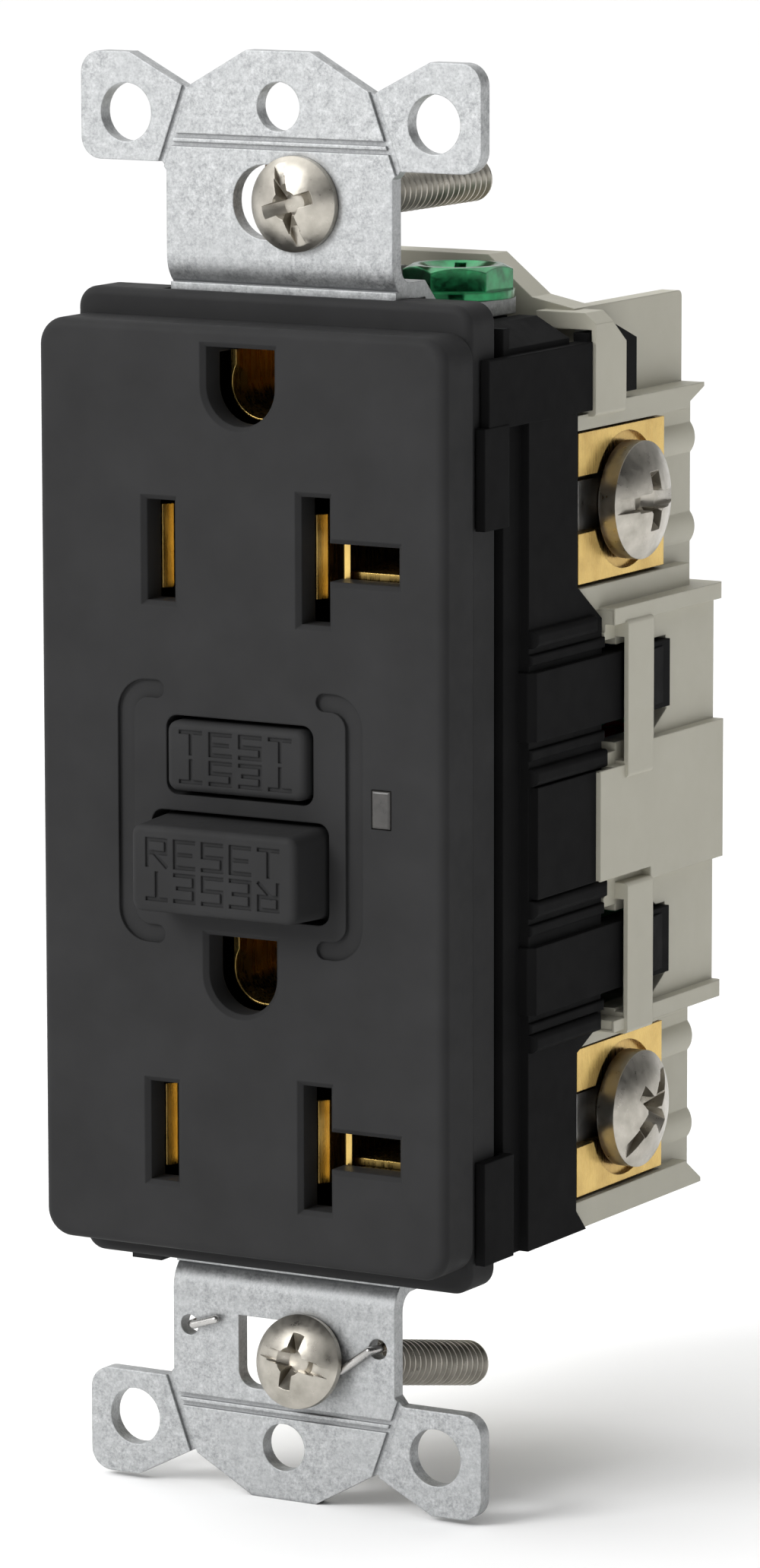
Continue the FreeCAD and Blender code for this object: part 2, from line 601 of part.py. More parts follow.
def strap_end(slot):
    """Upper end: flat plate, bend, run over the housing and bend down into the web."""
    t = STRAP_THICKNESS
    outer = STRAP_BEND_RADIUS
    inner = outer - t
    plate = prism_y(strap_end_outline(), 0, t)
    plate = plate.makeFillet(1.6, ear_corners(plate))
    bend_z = STRAP_SEAT_Z + outer
    full = (-STRAP_HALF_WIDTH, STRAP_HALF_WIDTH)
    pieces = [plate, quarter_bend(outer, bend_z, 1, full, "front", inner, outer)]
    left = (-STRAP_HALF_WIDTH, 2.2)
    top = (STRAP_SEAT_Z, STRAP_SEAT_Z + t)
    pieces.append(box(full, (outer, 4.6), top))
    pieces.append(box(full, (0.5, outer), (STRAP_SEAT_Z, STRAP_SEAT_Z + 0.6)))
    turn_y = STRAP_WEB_REAR - outer
    pieces.append(box(left, (4.5, turn_y), top))
    pieces.append(quarter_bend(turn_y, top[1] - outer, 1, left, "rear", inner, outer))
    end = fused(pieces)
    cutters = [slot, rod((0, -1, PLATE_SCREW_Z), AXIS_Y, PLATE_SCREW_RADIUS, 4)]
    for sign in (-1, 1):
        cutters.append(rod((sign * EAR_HOLE_X, -1, EAR_HOLE_Z), AXIS_Y, EAR_HOLE_RADIUS, 4))
    return end.cut(cutters + break_off_scores())


def slot_block():
    """Sideways slot that lets the box screw shift to meet its tapped ear."""
    return box(SLOT_ENDS, (-1, 3), (BOX_SCREW_Z - SLOT_HALF_HEIGHT, BOX_SCREW_Z + SLOT_HALF_HEIGHT))


def round_slot():
    """Slot for the upper box screw."""
    slot = slot_block()
    return slot.makeFillet(SLOT_HALF_HEIGHT - 0.05, edges_along(slot, AXIS_Y))


def square_slot():
    """Slot for the lower box screw: square at the side nearer the housing."""
    slot = slot_block()
    far = [e for e in edges_along(slot, AXIS_Y) if e.CenterOfMass.z > BOX_SCREW_Z]
    return slot.makeFillet(1.3, far)


def ground_tab():
    """Stepped-down tab, part of the strap, that the ground screw threads into."""
    t = STRAP_THICKNESS
    seat = GROUND_SCREW_SEAT_Z
    shape = prism_x([(4.0, STRAP_SEAT_Z + t), (4.6, STRAP_SEAT_Z + t), (6.6, seat), (14.8, seat),
                     (14.8, seat - t), (6.1, seat - t), (4.6, STRAP_SEAT_Z), (4.0, STRAP_SEAT_Z)],
                    2.75, 10.9)
    corner = box((STRAP_HALF_WIDTH, 12.5), (3.0, 6.9), (32.5, 37.0))
    tab = shape.cut(corner)
    return tab.cut(rod((GROUND_SCREW_X, GROUND_SCREW_Y, 30), AXIS_Z, 2.05, 8))


def mounting_strap():
    """One stamping: two ends in front, and a web behind the contact chamber that joins them."""
    upper = strap_end(round_slot())
    lower = mirror_z(strap_end(square_slot()))
    web_y = (STRAP_WEB_REAR - STRAP_THICKNESS, STRAP_WEB_REAR)
    turn_z = STRAP_SEAT_Z + STRAP_THICKNESS - STRAP_BEND_RADIUS
    web = box((-STRAP_HALF_WIDTH, STRAP_HALF_WIDTH), web_y, (-32.0, 32.0))
    window = plate_y((-6.2, 6.2), (web_y[0] - 1, web_y[1] + 1), (-10.8, 7.0), 1.5)
    necks = [box((-STRAP_HALF_WIDTH, 2.2), web_y, (31.9, turn_z)),
             box((-STRAP_HALF_WIDTH, 2.2), web_y, (-turn_z, -31.9))]
    strap = fused([upper, lower, web.cut(window), ground_tab()] + necks)
    holes = [rod((sign * 7.9, -1, -40.2), AXIS_Y, 0.75, 4) for sign in (-1, 1)]
    return strap.cut(holes)


def self_ground_clip():
    """Spring wire through two small holes of the lower end, bearing on the box screw."""
    z = -40.2
    behind = 1.9
    hook = [Vec(-7.9, behind, z), Vec(-7.9, 0.3, z), Vec(-7.3, -0.42, z + 0.15), Vec(-5.45, -0.45, z + 0.75)]
    tail = [Vec(7.9, behind, z), Vec(7.9, 0.3, z), Vec(7.4, -0.42, z - 0.1), Vec(5.1, -0.42, z - 1.8)]
    back = [Vec(-7.9, behind, z), Vec(-5.4, behind, z + 2.3), Vec(5.4, behind, z + 2.3), Vec(7.9, behind, z)]
    return fused([sweep(points, CLIP_WIRE_RADIUS) for points in (hook, tail, back)])


def sweep(points, radius):
    """Round wire through a few points, with a ball at each joint."""
    pieces = []
    for first, last in zip(points, points[1:]):
        run = last.sub(first)
        pieces.append(Part.makeCylinder(radius, run.Length, first, run))
    for joint in points:
        pieces.append(Part.makeSphere(radius, joint))
    return fused(pieces)


# ---- screws -------------------------------------------------------------------------------
def combination_recess(length, depth, width, angle):
    """Cutter for a cross recess with a long straight slot, around the +Z axis, open at z = 0."""
    slot_half, arm_half, arm_length = width * 0.4, width / 2, 2.15
    floor_radius = 0.8
    slope = (arm_length - floor_radius) / (depth - 0.4)
    slot = box((-length, length), (-slot_half, slot_half), (-depth * 0.6, 2))
    arms = [box((-arm_length, arm_length), (-arm_half, arm_half), (-depth, 2)),
            box((-arm_half, arm_half), (-arm_length, arm_length), (-depth, 2))]
    top_radius = floor_radius + slope * (depth + 2)
    taper = Part.makeCone(floor_radius, top_radius, depth + 2, Vec(0, 0, -depth), AXIS_Z)
    cross = fused(arms).common(taper)
    centre = Part.makeCone(0.3, 1.1, depth, Vec(0, 0, -depth), AXIS_Z)
    cutter = fused([slot, cross, centre])
    cutter.rotate(Vec(0, 0, 0), AXIS_Z, angle)
    return cutter


def pan_head(radius, height, rim):
    """Head around +Z: underside at z = 0, straight rim, and a low dome up to z = height."""
    dome = height - rim
    ball_radius = (radius * radius + dome * dome) / (2 * dome)
    cylinder = Part.makeCylinder(radius, height)
    return cylinder.common(Part.makeSphere(ball_radius, Vec(0, 0, height - ball_radius)))


def screw(head, recess, shank_radius, shank_length):
    """Pan-head screw around +Z, with the underside of its head at z = 0. The head is given by its
    radius, height and rim, the recess by its depth, width and angle."""
    radius, height, rim = head
    recess = combination_recess(radius * 1.1, *recess)
    recess.translate(Vec(0, 0, height))
    tip = 0.6
    shank = rod((0, 0, -shank_length + tip), AXIS_Z, shank_radius, shank_length - tip + 0.1)
    point = Part.makeCone(shank_radius - 0.5, shank_radius, tip, Vec(0, 0, -shank_length), AXIS_Z)
    return fused([pan_head(radius, height, rim).cut(recess), shank, point])


def place_box_screw(shape, sign):
    """Turn a shape around the Z axis to its slot: the lower screw hangs in its slot at an angle,
    with the upper edge of its head against the strap."""
    shape.rotate(Vec(0, 0, 0), AXIS_X, 90)
    if sign > 0:
        shape.translate(Vec(UPPER_SCREW_X, -FIT, BOX_SCREW_Z))
        return shape
    shape.rotate(Vec(0, 0, 0), AXIS_X, -BOX_SCREW_DROOP)
    lift = FIT + BOX_SCREW_HEAD_RADIUS * sin(radians(BOX_SCREW_DROOP))
    shape.translate(Vec(LOWER_SCREW_X, -lift, -BOX_SCREW_Z))
    return shape


def box_screw(sign):
    """Screw that fastens the strap to a wall box: its plain neck is thinner than its thread,
    so that the washer round the neck holds it."""
    head = (BOX_SCREW_HEAD_RADIUS, BOX_SCREW_HEAD_HEIGHT, BOX_SCREW_HEAD_RIM)
    recess = (1.5, 0.95, 108 if sign > 0 else -11)
    body = screw(head, recess, BOX_SCREW_RADIUS, BOX_SCREW_REACH)
    bottom = (0, 0, -BOX_SCREW_NECK)
    relief = rod(bottom, AXIS_Z, BOX_SCREW_RADIUS + 1, BOX_SCREW_NECK)
    relief = relief.cut(rod(bottom, AXIS_Z, BOX_SCREW_NECK_RADIUS, BOX_SCREW_NECK))
    return place_box_screw(body.cut(relief), sign)


def screw_washer(sign):
    """Fibre washer that keeps the box screw captive behind the strap."""
    top = -STRAP_THICKNESS - 0.1 - FIT if sign > 0 else -2.75
    sheet = box((-3.4, 3.4), (-3.2, 3.2), (top - 0.8, top))
    sheet = sheet.makeFillet(1.0, edges_along(sheet, AXIS_Z))
    sheet = sheet.cut(rod((0, 0, -9), AXIS_Z, BOX_SCREW_NECK_RADIUS + FIT, 9))
    return place_box_screw(sheet, sign)


def terminal_screw(sign, index):
    """Wire-binding screw: the clamp plate inside rides on its thread."""
    length = TERMINAL_OUTER_X - TERMINAL_SCREW_END_X
    head = (TERMINAL_HEAD_RADIUS, TERMINAL_HEAD_HEIGHT, TERMINAL_HEAD_RIM)
    recess = (1.9, 1.3, 92 + 43 * index)
    body = screw(head, recess, TERMINAL_SCREW_RADIUS, length)
    body.rotate(Vec(0, 0, 0), AXIS_Y, 90 * sign)
    body.translate(Vec(sign * (TERMINAL_OUTER_X + FIT), TERMINAL_SCREW_Y, TERMINAL_Z[index]))
    return body


def ground_screw():
    """Hexagon washer-head screw, dished and slotted, in the stepped tab of the strap."""
    flange = rod((0, 0, 0), AXIS_Z, 4.1, 0.6)
    corners = [Vec(3.95 * cos(radians(60 * i + 30)), 3.95 * sin(radians(60 * i + 30)), 0.5) for i in range(6)]
    hexagon = Part.Face(Part.makePolygon(corners + corners[:1])).extrude(Vec(0, 0, 1.85))
    hexagon = hexagon.common(Part.makeSphere(7.5, Vec(0, 0, -4.4)))
    dish = Part.makeSphere(5.0, Vec(0, 0, 6.45))
    slot = box((-0.4, 0.4), (-2.6, 2.6), (0.9, 3.0))
    slot.rotate(Vec(0, 0, 0), AXIS_Z, 25)
    shank = rod((0, 0, -1.3), AXIS_Z, 2.0, 1.4)
    body = fused([flange, hexagon, shank]).cut([dish, slot])
    body.translate(Vec(GROUND_SCREW_X, GROUND_SCREW_Y, GROUND_SCREW_SEAT_Z + 0.02))
    return body


# ---- buttons and lamp ---------------------------------------------------------------------
def button(half_width, z, front, base, draft):
    """Push button cap with a slightly tapered front and rounded edges."""
    back = rectangle_wire((-half_width, half_width), z)
    lift = rectangle_wire((-half_width + draft, half_width - draft), (z[0] + draft, z[1] - draft))
    back.translate(Vec(0, base, 0))
    lift.translate(Vec(0, front, 0))
    cap = Part.makeLoft([lift, back], True)
    long_edges = [e for e in cap.Edges if e.BoundBox.YLength > (base - front) * 0.9]
    cap = cap.makeFillet(0.8, long_edges)
    return cap.makeFillet(0.5, edges_on_plane(cap, 1, front))


def letter_stroke(start, end, front):
    """Cutter for one straight stroke with square ends, between two (x, z) points."""
    along = Vec(end[0] - start[0], 0, end[1] - start[1]).normalize() * (LETTER_STROKE / 2)
    x0, z0 = start[0] - along.x, start[1] - along.z
    x1, z1 = end[0] + along.x, end[1] + along.z
    corners = [(x0 - along.z, z0 + along.x), (x0 + along.z, z0 - along.x),
               (x1 + along.z, z1 - along.x), (x1 - along.z, z1 + along.x)]
    return prism_y(corners, front - 1.0, front + LETTER_DEPTH)


def word_pair(word, centre_z, front, letter, pitch):
    """Cutters for a word across the upper half of a button, and the same word turned upside down
    on the lower half, so that it reads whichever way up the device is mounted."""
    width, height = letter
    left = -(pitch * (len(word) - 1) + width) / 2
    low = centre_z + LETTER_STROKE
    strokes = []
    for place, capital in enumerate(word):
        x = left + place * pitch
        for x0, z0, x1, z1 in LETTER_STROKES[capital]:
            strokes.append(letter_stroke((x + x0 * width, low + z0 * height),
                                         (x + x1 * width, low + z1 * height), front))
    upright = fused(strokes)
    inverted = upright.copy()
    inverted.rotate(Vec(0, 0, centre_z), AXIS_Y, 180)
    return [upright, inverted]


def test_button():
    cap = button(TEST_HALF_WIDTH, TEST_Z, TEST_FRONT, -2.2, 0.1)
    cap = cap.cut(word_pair("TEST", TEST_AXIS_Z, TEST_FRONT, (1.65, 1.5), 2.45))
    wings = box((-7.2, 7.2), (-3.3, -2.2), (TEST_Z[0] + 0.3, TEST_Z[1] - 0.3))
    post = rod((0, -2.3, TEST_AXIS_Z), AXIS_Y, 1.1, 6.3)
    return fused([cap, wings, post])


def reset_button():
    cap = button(RESET_HALF_WIDTH, RESET_Z, RESET_FRONT, -2.2, 0.3)
    cap = cap.cut(word_pair("RESET", RESET_AXIS_Z, RESET_FRONT, (1.55, 1.85), 2.3))
    wings = box((-8.4, 8.4), (-3.3, -2.2), (RESET_Z[0] - 0.9, RESET_Z[1] + 0.6))
    socket = rod((0, -2.3, RESET_AXIS_Z), AXIS_Y, 1.6, 2.3)
    body = fused([cap, wings, socket])
    return body.cut(rod((0, -4.0, RESET_AXIS_Z), AXIS_Y, 1.0, 5))


def reset_pin():
    """Steel plunger pressed into the reset button, with a catching groove near its tip."""
    pin = rod((0, -4.0, RESET_AXIS_Z), AXIS_Y, 1.0, 30.3)
    groove = ring_y(0, RESET_AXIS_Z, 24.9, 25.6, 1.5, 0.65)
    point = pin.cut(groove)
    return point


def light_pipe():
    """Clear bar that carries the lamp's light to the face."""
    head = box((LAMP_X - 0.75, LAMP_X + 0.75), (FACE_FRONT - 0.15, -2.0), (LAMP_Z - 1.35, LAMP_Z + 1.35))
    head = head.makeFillet(0.2, edges_on_plane(head, 1, FACE_FRONT - 0.15))
    shaft = rod((LAMP_X, -2.5, LAMP_Z), AXIS_Y, 1.2, 28.3)
    return fused([head, shaft])


def indicator_led():
    base = rod((LAMP_X, 28.9, LAMP_Z), AXIS_Y, 1.7, 1.1)
    barrel = rod((LAMP_X, 27.6, LAMP_Z), AXIS_Y, 1.45, 1.4)
    dome = Part.makeSphere(1.45, Vec(LAMP_X, 27.6, LAMP_Z))
    return fused([base, barrel, dome])


# ---- contacts -----------------------------------------------------------------------------
def blade_socket(x, z, half_height, y_back):
    """Two spring leaves that grip a plug blade, flared where the blade enters."""
    leaves = []
    for sign in (-1, 1):
        inner, outer, flare = x + sign * 0.62, x + sign * 1.12, sign * 0.5
        profile = [(inner, y_back), (inner, -2.6), (inner + flare, -3.3), (outer + flare, -3.3),
                   (outer, -2.6), (outer, y_back)]
        corners = [Vec(px, py, z - half_height) for px, py in profile]
        leaves.append(Part.Face(Part.makePolygon(corners + corners[:1])).extrude(Vec(0, 0, 2 * half_height)))
    return leaves


def contact_strip(sign):
    """One pole of the outlets: sockets for both plugs, a bus, and a post to the fixed contact."""
    x = sign * BLADE_SPACING / 2 - 0.25
    bus_y = (11.4, 12.2)
    pieces = []
    for z in OUTLET_Z:
        pieces += blade_socket(x, z, 3.0, bus_y[1])
        if sign > 0:
            pieces.append(box((x + 1.1, x + 6.0), (-2.4, -1.9), (z - 1.9, z - 1.45)))
            pieces += tee_leaves(x, z)
    pieces.append(box((x - 1.3, x + 1.3), bus_y, (OUTLET_Z[1] - 3.0, OUTLET_Z[0] + 3.0)))
    pieces.append(box((x, sign * 12.1), bus_y, (-6.0, -3.0)))
    pieces.append(box((sign * 10.95, sign * 12.05), (bus_y[0], 18.2), (-6.0, -3.0)))
    pieces.append(rod((sign * 11.5, 18.1, -4.5), AXIS_Y, 1.1, 0.7))
    pieces.append(box((x, sign * 13.5), bus_y, (18.2, 21.0)))
    pieces.append(box((sign * 12.4, sign * 13.4), (bus_y[0], 13.4), (18.2, 21.0)))
    return fused(pieces)


def tee_leaves(x, z):
    """Leaves for the sideways blade of a 20 A plug."""
    pieces = []
    for side in (-1, 1):
        edge = z + side * 1.2
        pieces.append(box((x + 1.1, x + 5.6), (-2.6, 4.0), (edge - 0.25, edge + 0.25)))
    return pieces


def ground_contact(z):
    """U-shaped grip for the round ground pin, flared at its mouth and riveted to the strap's web."""
    base_y, mouth_y = 11.9, -2.2
    inner, outer = 2.2, 2.65
    tube = ring_y(0, z, mouth_y, base_y + 0.45, outer, inner)
    sides = [box((sign * inner, sign * outer), (mouth_y, base_y), (z, z + 2.3)) for sign in (-1, 1)]
    grip = fused([tube.cut(box((-3, 3), (mouth_y - 1, base_y + 1), (z, z + 3)))] + sides)
    flare = Part.makeCone(outer - 0.12, inner, 1.6, Vec(0, mouth_y, z), AXIS_Y)
    base = box((-2.5, 2.5), (base_y, base_y + 0.45), (z - 2.5, z + 2.3))
    rivet = rod((0, base_y + 0.3, z), AXIS_Y, 0.9, STRAP_WEB_REAR - STRAP_THICKNESS - base_y - 0.3)
    return fused([grip.cut(flare), base, rivet])


def terminal_plate(sign, index):
    """Brass side plate under a terminal screw, with a notch that shows the clamp behind it."""
    z = TERMINAL_Z[index]
    h = TERMINAL_HALF_HEIGHT
    plate = box((sign * TERMINAL_INNER_X, sign * TERMINAL_OUTER_X), TERMINAL_Y, (z - h, z + h))
    notch = box((sign * 14, sign * 17), (TERMINAL_Y[0] - 1, TERMINAL_SCREW_Y), (z - 1.8, z + 2.35))
    hole = rod((sign * 14, TERMINAL_SCREW_Y, z), Vec(sign, 0, 0), TERMINAL_SCREW_RADIUS + 0.15, 4)
    dish = Part.makeCylinder(5.0, 0.35, Vec(sign * (TERMINAL_OUTER_X - 0.35), TERMINAL_SCREW_Y, z),
                             Vec(sign, 0, 0))
    plate = plate.cut([notch, hole, dish])
    if index == 0:
        tail = box((sign * 12.4, sign * 15.2), (13.4, 14.2), (18.2, 21.0))
        root = box((sign * TERMINAL_INNER_X, sign * 15.9), (13.4, 14.6), (z - h, z + h))
        return fused([plate, root, tail])
    tail = box((sign * 9.5, sign * 15.2), (16.0, 20.0), (z - h, z - h + 0.8))
    return fused([plate, tail])


def clamp_plate(sign, index):
    """Steel plate on the screw's thread that grips a back-wired conductor against the brass."""
    z = TERMINAL_Z[index]
    outer = TERMINAL_INNER_X - 0.1
    plate = box((sign * (outer - CLAMP_THICKNESS), sign * outer), (16.2, 26.4), (z - 4.6, z + 4.6))
    lip = box((sign * (outer - CLAMP_THICKNESS), sign * (outer + 0.35)), (16.2, 19.0), (z - 1.8, z + 1.8))
    body = plate.fuse(lip)
    return body.cut(rod((sign * 10, TERMINAL_SCREW_Y, z), Vec(sign, 0, 0), TERMINAL_SCREW_RADIUS + FIT, 8))


def line_conductor(sign):
    """Brass bar from a line terminal, through the sensing coils, to a fixed contact."""
    x = (sign * 1.0, sign * 2.4)
    pieces = [
        box((sign * 1.0, sign * 9.4), (17.5, 19.6), (-31.0, -30.2)),
        box(x, (17.5, 29.5), (-31.0, -30.2)),
        box(x, (28.7, 29.5), (-31.0, -19.4)),
        box(x, (17.6, 29.5), (-20.6, -19.4)),
        box(x, (17.6, 18.4), (-20.6, -12.5)),
        box((sign * 1.0, sign * 12.7), (17.6, 18.4), (-14.5, -12.5)),
        rod((sign * 11.5, 18.3, -13.5), AXIS_Y, 1.1, 0.5),
    ]
    return fused(pieces)


def bridge_contact(sign):
    """Moving bar with two contact rivets that closes one pole."""
    bar = box((sign * 10.3, sign * 12.7), (20.6, 21.2), (-14.9, -3.1))
    rivets = [rod((sign * 11.5, 20.0, z), AXIS_Y, 1.1, 0.7) for z in (-13.5, -4.5)]
    return fused([bar] + rivets)


# ---- trip mechanism -----------------------------------------------------------------------
def contact_carriage():
    """Plastic slider that the reset pin lifts; it carries both bridge contacts."""
    body = box((-4.4, 4.4), (21.3, 26.0), (-9.8, 0.0))
    wings = box((-12.9, 12.9), (21.2, 23.2), (-10.6, -6.6))
    slider = fused([body, wings])
    slot = box((-2.5, 2.5), (24.0, 25.1), (-12, 2))
    return slider.cut([slot, rod((0, 20, RESET_AXIS_Z), AXIS_Y, 1.3, 8)])


def latch_plate():
    """Steel slide with a keyhole that hooks under the shoulder of the reset pin."""
    plate = box((-2.2, 2.2), (24.2, 24.9), (-9.0, 2.9))
    hole = rod((0, 23, RESET_AXIS_Z), AXIS_Y, 1.3, 3)
    slot = box((-1.3, 1.3), (23, 26), (RESET_AXIS_Z, RESET_AXIS_Z + LATCH_TRAVEL))
    end = rod((0, 23, RESET_AXIS_Z + LATCH_TRAVEL), AXIS_Y, 1.3, 3)
    return plate.cut([hole, slot, end])


def solenoid_bobbin():
    pieces = [rod((0, SOLENOID_Y, 6.2), AXIS_Z, 2.4, 13.8)]
    for z in (6.2, 19.2):
        pieces.append(rod((0, SOLENOID_Y, z), AXIS_Z, 4.4, 0.8))
    return fused(pieces).cut(rod((0, SOLENOID_Y, 5), AXIS_Z, 1.75, 17))


def solenoid_winding():
    outer = rod((0, SOLENOID_Y, 7.0), AXIS_Z, 4.1, 12.2)
    return outer.cut(rod((0, SOLENOID_Y, 6), AXIS_Z, 2.4, 14))


def solenoid_frame():
    """Steel strap that closes the magnetic circuit round the coil."""
    outer = box((-6.0, 6.0), (SOLENOID_Y - 4.2, SOLENOID_Y + 4.2), (5.2, 21.0))
    inner = box((-4.9, 4.9), (SOLENOID_Y - 5, SOLENOID_Y + 5), (6.2, 20.0))
    return outer.cut(inner).cut(rod((0, SOLENOID_Y, 4), AXIS_Z, 1.85, 19))


def plunger():
    core = rod((0, SOLENOID_Y, 8.0), AXIS_Z, 1.65, 10.0)
    nose = rod((0, SOLENOID_Y, 3.2), AXIS_Z, 1.0, 5.0)
    return fused([core, nose])


def plunger_spring():
    spring = Part.makeHelix(0.9, 2.7, 1.35)
    profile = Part.Wire(Part.makeCircle(0.14, Vec(1.35, 0, 0), AXIS_Y))
    body = Part.Wire(spring).makePipeShell([profile], True, True)
    body.translate(Vec(0, SOLENOID_Y, 18.2))
    return body


def test_contact():
    """Brass leaf under the test button, fixed in the front housing."""
    leaf = box((-1.0, 1.0), (5.6, 6.0), (TEST_AXIS_Z - 0.9, 9.5))
    foot = box((-1.0, 1.0), (5.6, 12.4), (9.1, 9.5))
    return fused([leaf, foot])


# ---- electronics --------------------------------------------------------------------------
def circuit_board():
    middle = box((-14.9, 14.9), (30.0, 31.6), (-18.0, 10.6))
    ends = box((-9.3, 9.3), (30.0, 31.6), (-29.8, 30.8))
    return fused([middle, ends])


def toroid(y0, y1):
    ring = ring_y(0, COIL_Z, y0, y1, 7.4, 4.2)
    return ring.makeFillet(0.6, edges_on_plane(ring, 1, y0) + edges_on_plane(ring, 1, y1))


def coil_holder():
    """Plastic cup with a centre tube that insulates the coils from the conductors."""
    cup = ring_y(0, COIL_Z, 21.0, 28.5, 8.3, 7.55)
    floor = ring_y(0, COIL_Z, 27.9, 28.5, 8.0, 3.3)
    tube = ring_y(0, COIL_Z, 21.0, 28.5, 3.95, 3.3)
    return fused([cup, floor, tube])


def silicon_switch():
    """Flat-sided plastic package that fires the solenoid, on three legs."""
    x, z = 11.3, -8.6
    body = rod((x, 24.4, z), AXIS_Y, 2.3, 4.4).cut(box((x - 3, x + 3), (24, 30), (z - 3, z - 1.5)))
    legs = [box((x + d - 0.2, x + d + 0.2), (28.7, 30.0), (z - 0.2, z + 0.2)) for d in (-1.27, 0, 1.27)]
    return fused([body] + legs)


def surge_absorber():
    x, z = 11.3, 6.9
    disc = rod((x, 24.6, z), AXIS_Y, 3.5, 3.6)
    disc = disc.makeFillet(0.9, [e for e in disc.Edges if isinstance(e.Curve, Part.Circle)])
    legs = [box((x + d - 0.25, x + d + 0.25), (28.0, 30.0), (z - 0.25, z + 0.25)) for d in (-2.5, 2.5)]
    return fused([disc] + legs)


def filter_capacitors():
    """Two film capacitors on the board."""
    blocks = []
    for x, z in ((-11.6, 5.6), (-11.6, -0.6)):
        case = box((x - 2.6, x + 2.6), (23.6, 29.4), (z - 2.3, z + 2.3))
        case = case.makeFillet(0.5, edges_along(case, AXIS_Y))
        legs = [box((x + d - 0.25, x + d + 0.25), (29.3, 30.0), (z - 0.25, z + 0.25)) for d in (-2, 2)]
        blocks.append(fused([case] + legs))
    return Part.makeCompound(blocks)


def controller_chip():
    x, z = -11.3, -10.5
    body = box((x - 2, x + 2), (28.5, 29.8), (z - 2.5, z + 2.5))
    pins = []
    for i in range(4):
        height = z - 1.9 + 1.27 * i
        pins.append(box((x - 3.0, x + 3.0), (29.2, 30.0), (height - 0.2, height + 0.2)))
    return fused([body] + pins)


def resistors():
    """Three axial resistors standing off the upper end of the board."""
    parts = []
    for x in (-6.5, 0.0, 6.5):
        body = rod((x, 27.8, 24.0), AXIS_Z, 1.15, 5.6)
        legs = [box((x - 0.25, x + 0.25), (27.6, 30.0), (z - 0.25, z + 0.25)) for z in (23.7, 29.9)]
        leads = [rod((x, 27.8, z), AXIS_Z, 0.25, 0.5) for z in (23.6, 29.5)]
        parts.append(fused([body] + legs + leads))
    return Part.makeCompound(parts)


# ---- all nodes ----------------------------------------------------------------------------
def all_nodes():
    nodes = {
        "face_cover": face_cover(),
        "front_housing": front_housing(),
        "rear_housing": rear_housing(),
        "separator": separator(),
        "mounting_strap": mounting_strap(),
        "self_ground_clip": self_ground_clip(),
        "ground_screw": ground_screw(),
        "test_button": test_button(),
        "test_spring": coil_spring(0, TEST_AXIS_Z, -2.15, 4.9, 1.6, 0.3, 6),
        "test_contact": test_contact(),
        "reset_button": reset_button(),
        "reset_pin": reset_pin(),
        "reset_spring": coil_spring(0, RESET_AXIS_Z, -2.15, 7.9, 2.2, 0.4, 7),
        "light_pipe": light_pipe(),
        "indicator_led": indicator_led(),
        "upper_ground_contact": ground_contact(OUTLET_Z[0] + GROUND_OFFSET),
        "lower_ground_contact": ground_contact(OUTLET_Z[1] + GROUND_OFFSET),
        "contact_carriage": contact_carriage(),
        "latch_plate": latch_plate(),
        "solenoid_bobbin": solenoid_bobbin(),
        "solenoid_winding": solenoid_winding(),
        "solenoid_frame": solenoid_frame(),
        "plunger": plunger(),
        "plunger_spring": plunger_spring(),
        "circuit_board": circuit_board(),
        "sensing_coil": toroid(21.6, 24.2),
        "neutral_coil": toroid(24.8, 27.4),
        "coil_holder": coil_holder(),
        "silicon_switch": silicon_switch(),
        "surge_absorber": surge_absorber(),
        "filter_capacitors": filter_capacitors(),
        "controller_chip": controller_chip(),
        "resistors": resistors(),
    }
    for place, sign in (("upper", 1), ("lower", -1)):
        nodes[place + "_box_screw"] = box_screw(sign)
        nodes[place + "_screw_washer"] = screw_washer(sign)
    for pole, sign in (("hot", -1), ("neutral", 1)):
        nodes[pole + "_contact_strip"] = contact_strip(sign)
        nodes[pole + "_line_conductor"] = line_conductor(sign)
        nodes[pole + "_bridge_contact"] = bridge_contact(sign)
        for index, end in enumerate(("load", "line")):
            name = end + "_" + pole
            nodes[name + "_terminal"] = terminal_plate(sign, index)
            nodes[name + "_clamp"] = clamp_plate(sign, index)
            nodes[name + "_screw"] = terminal_screw(sign, index)
    return nodes


def main():
    os.makedirs("parts", exist_ok=True)
    for name, shape in all_nodes().items():
        shape.exportStep(os.path.join("parts", name + ".step"))
        print(name, "solids", len(shape.Solids), "volume", round(shape.Volume, 1), "valid", shape.isValid())


main()
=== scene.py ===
import json
from math import ceil, cos, pi, radians, sin

import bmesh
import bpy
from mathutils import Matrix, Vector


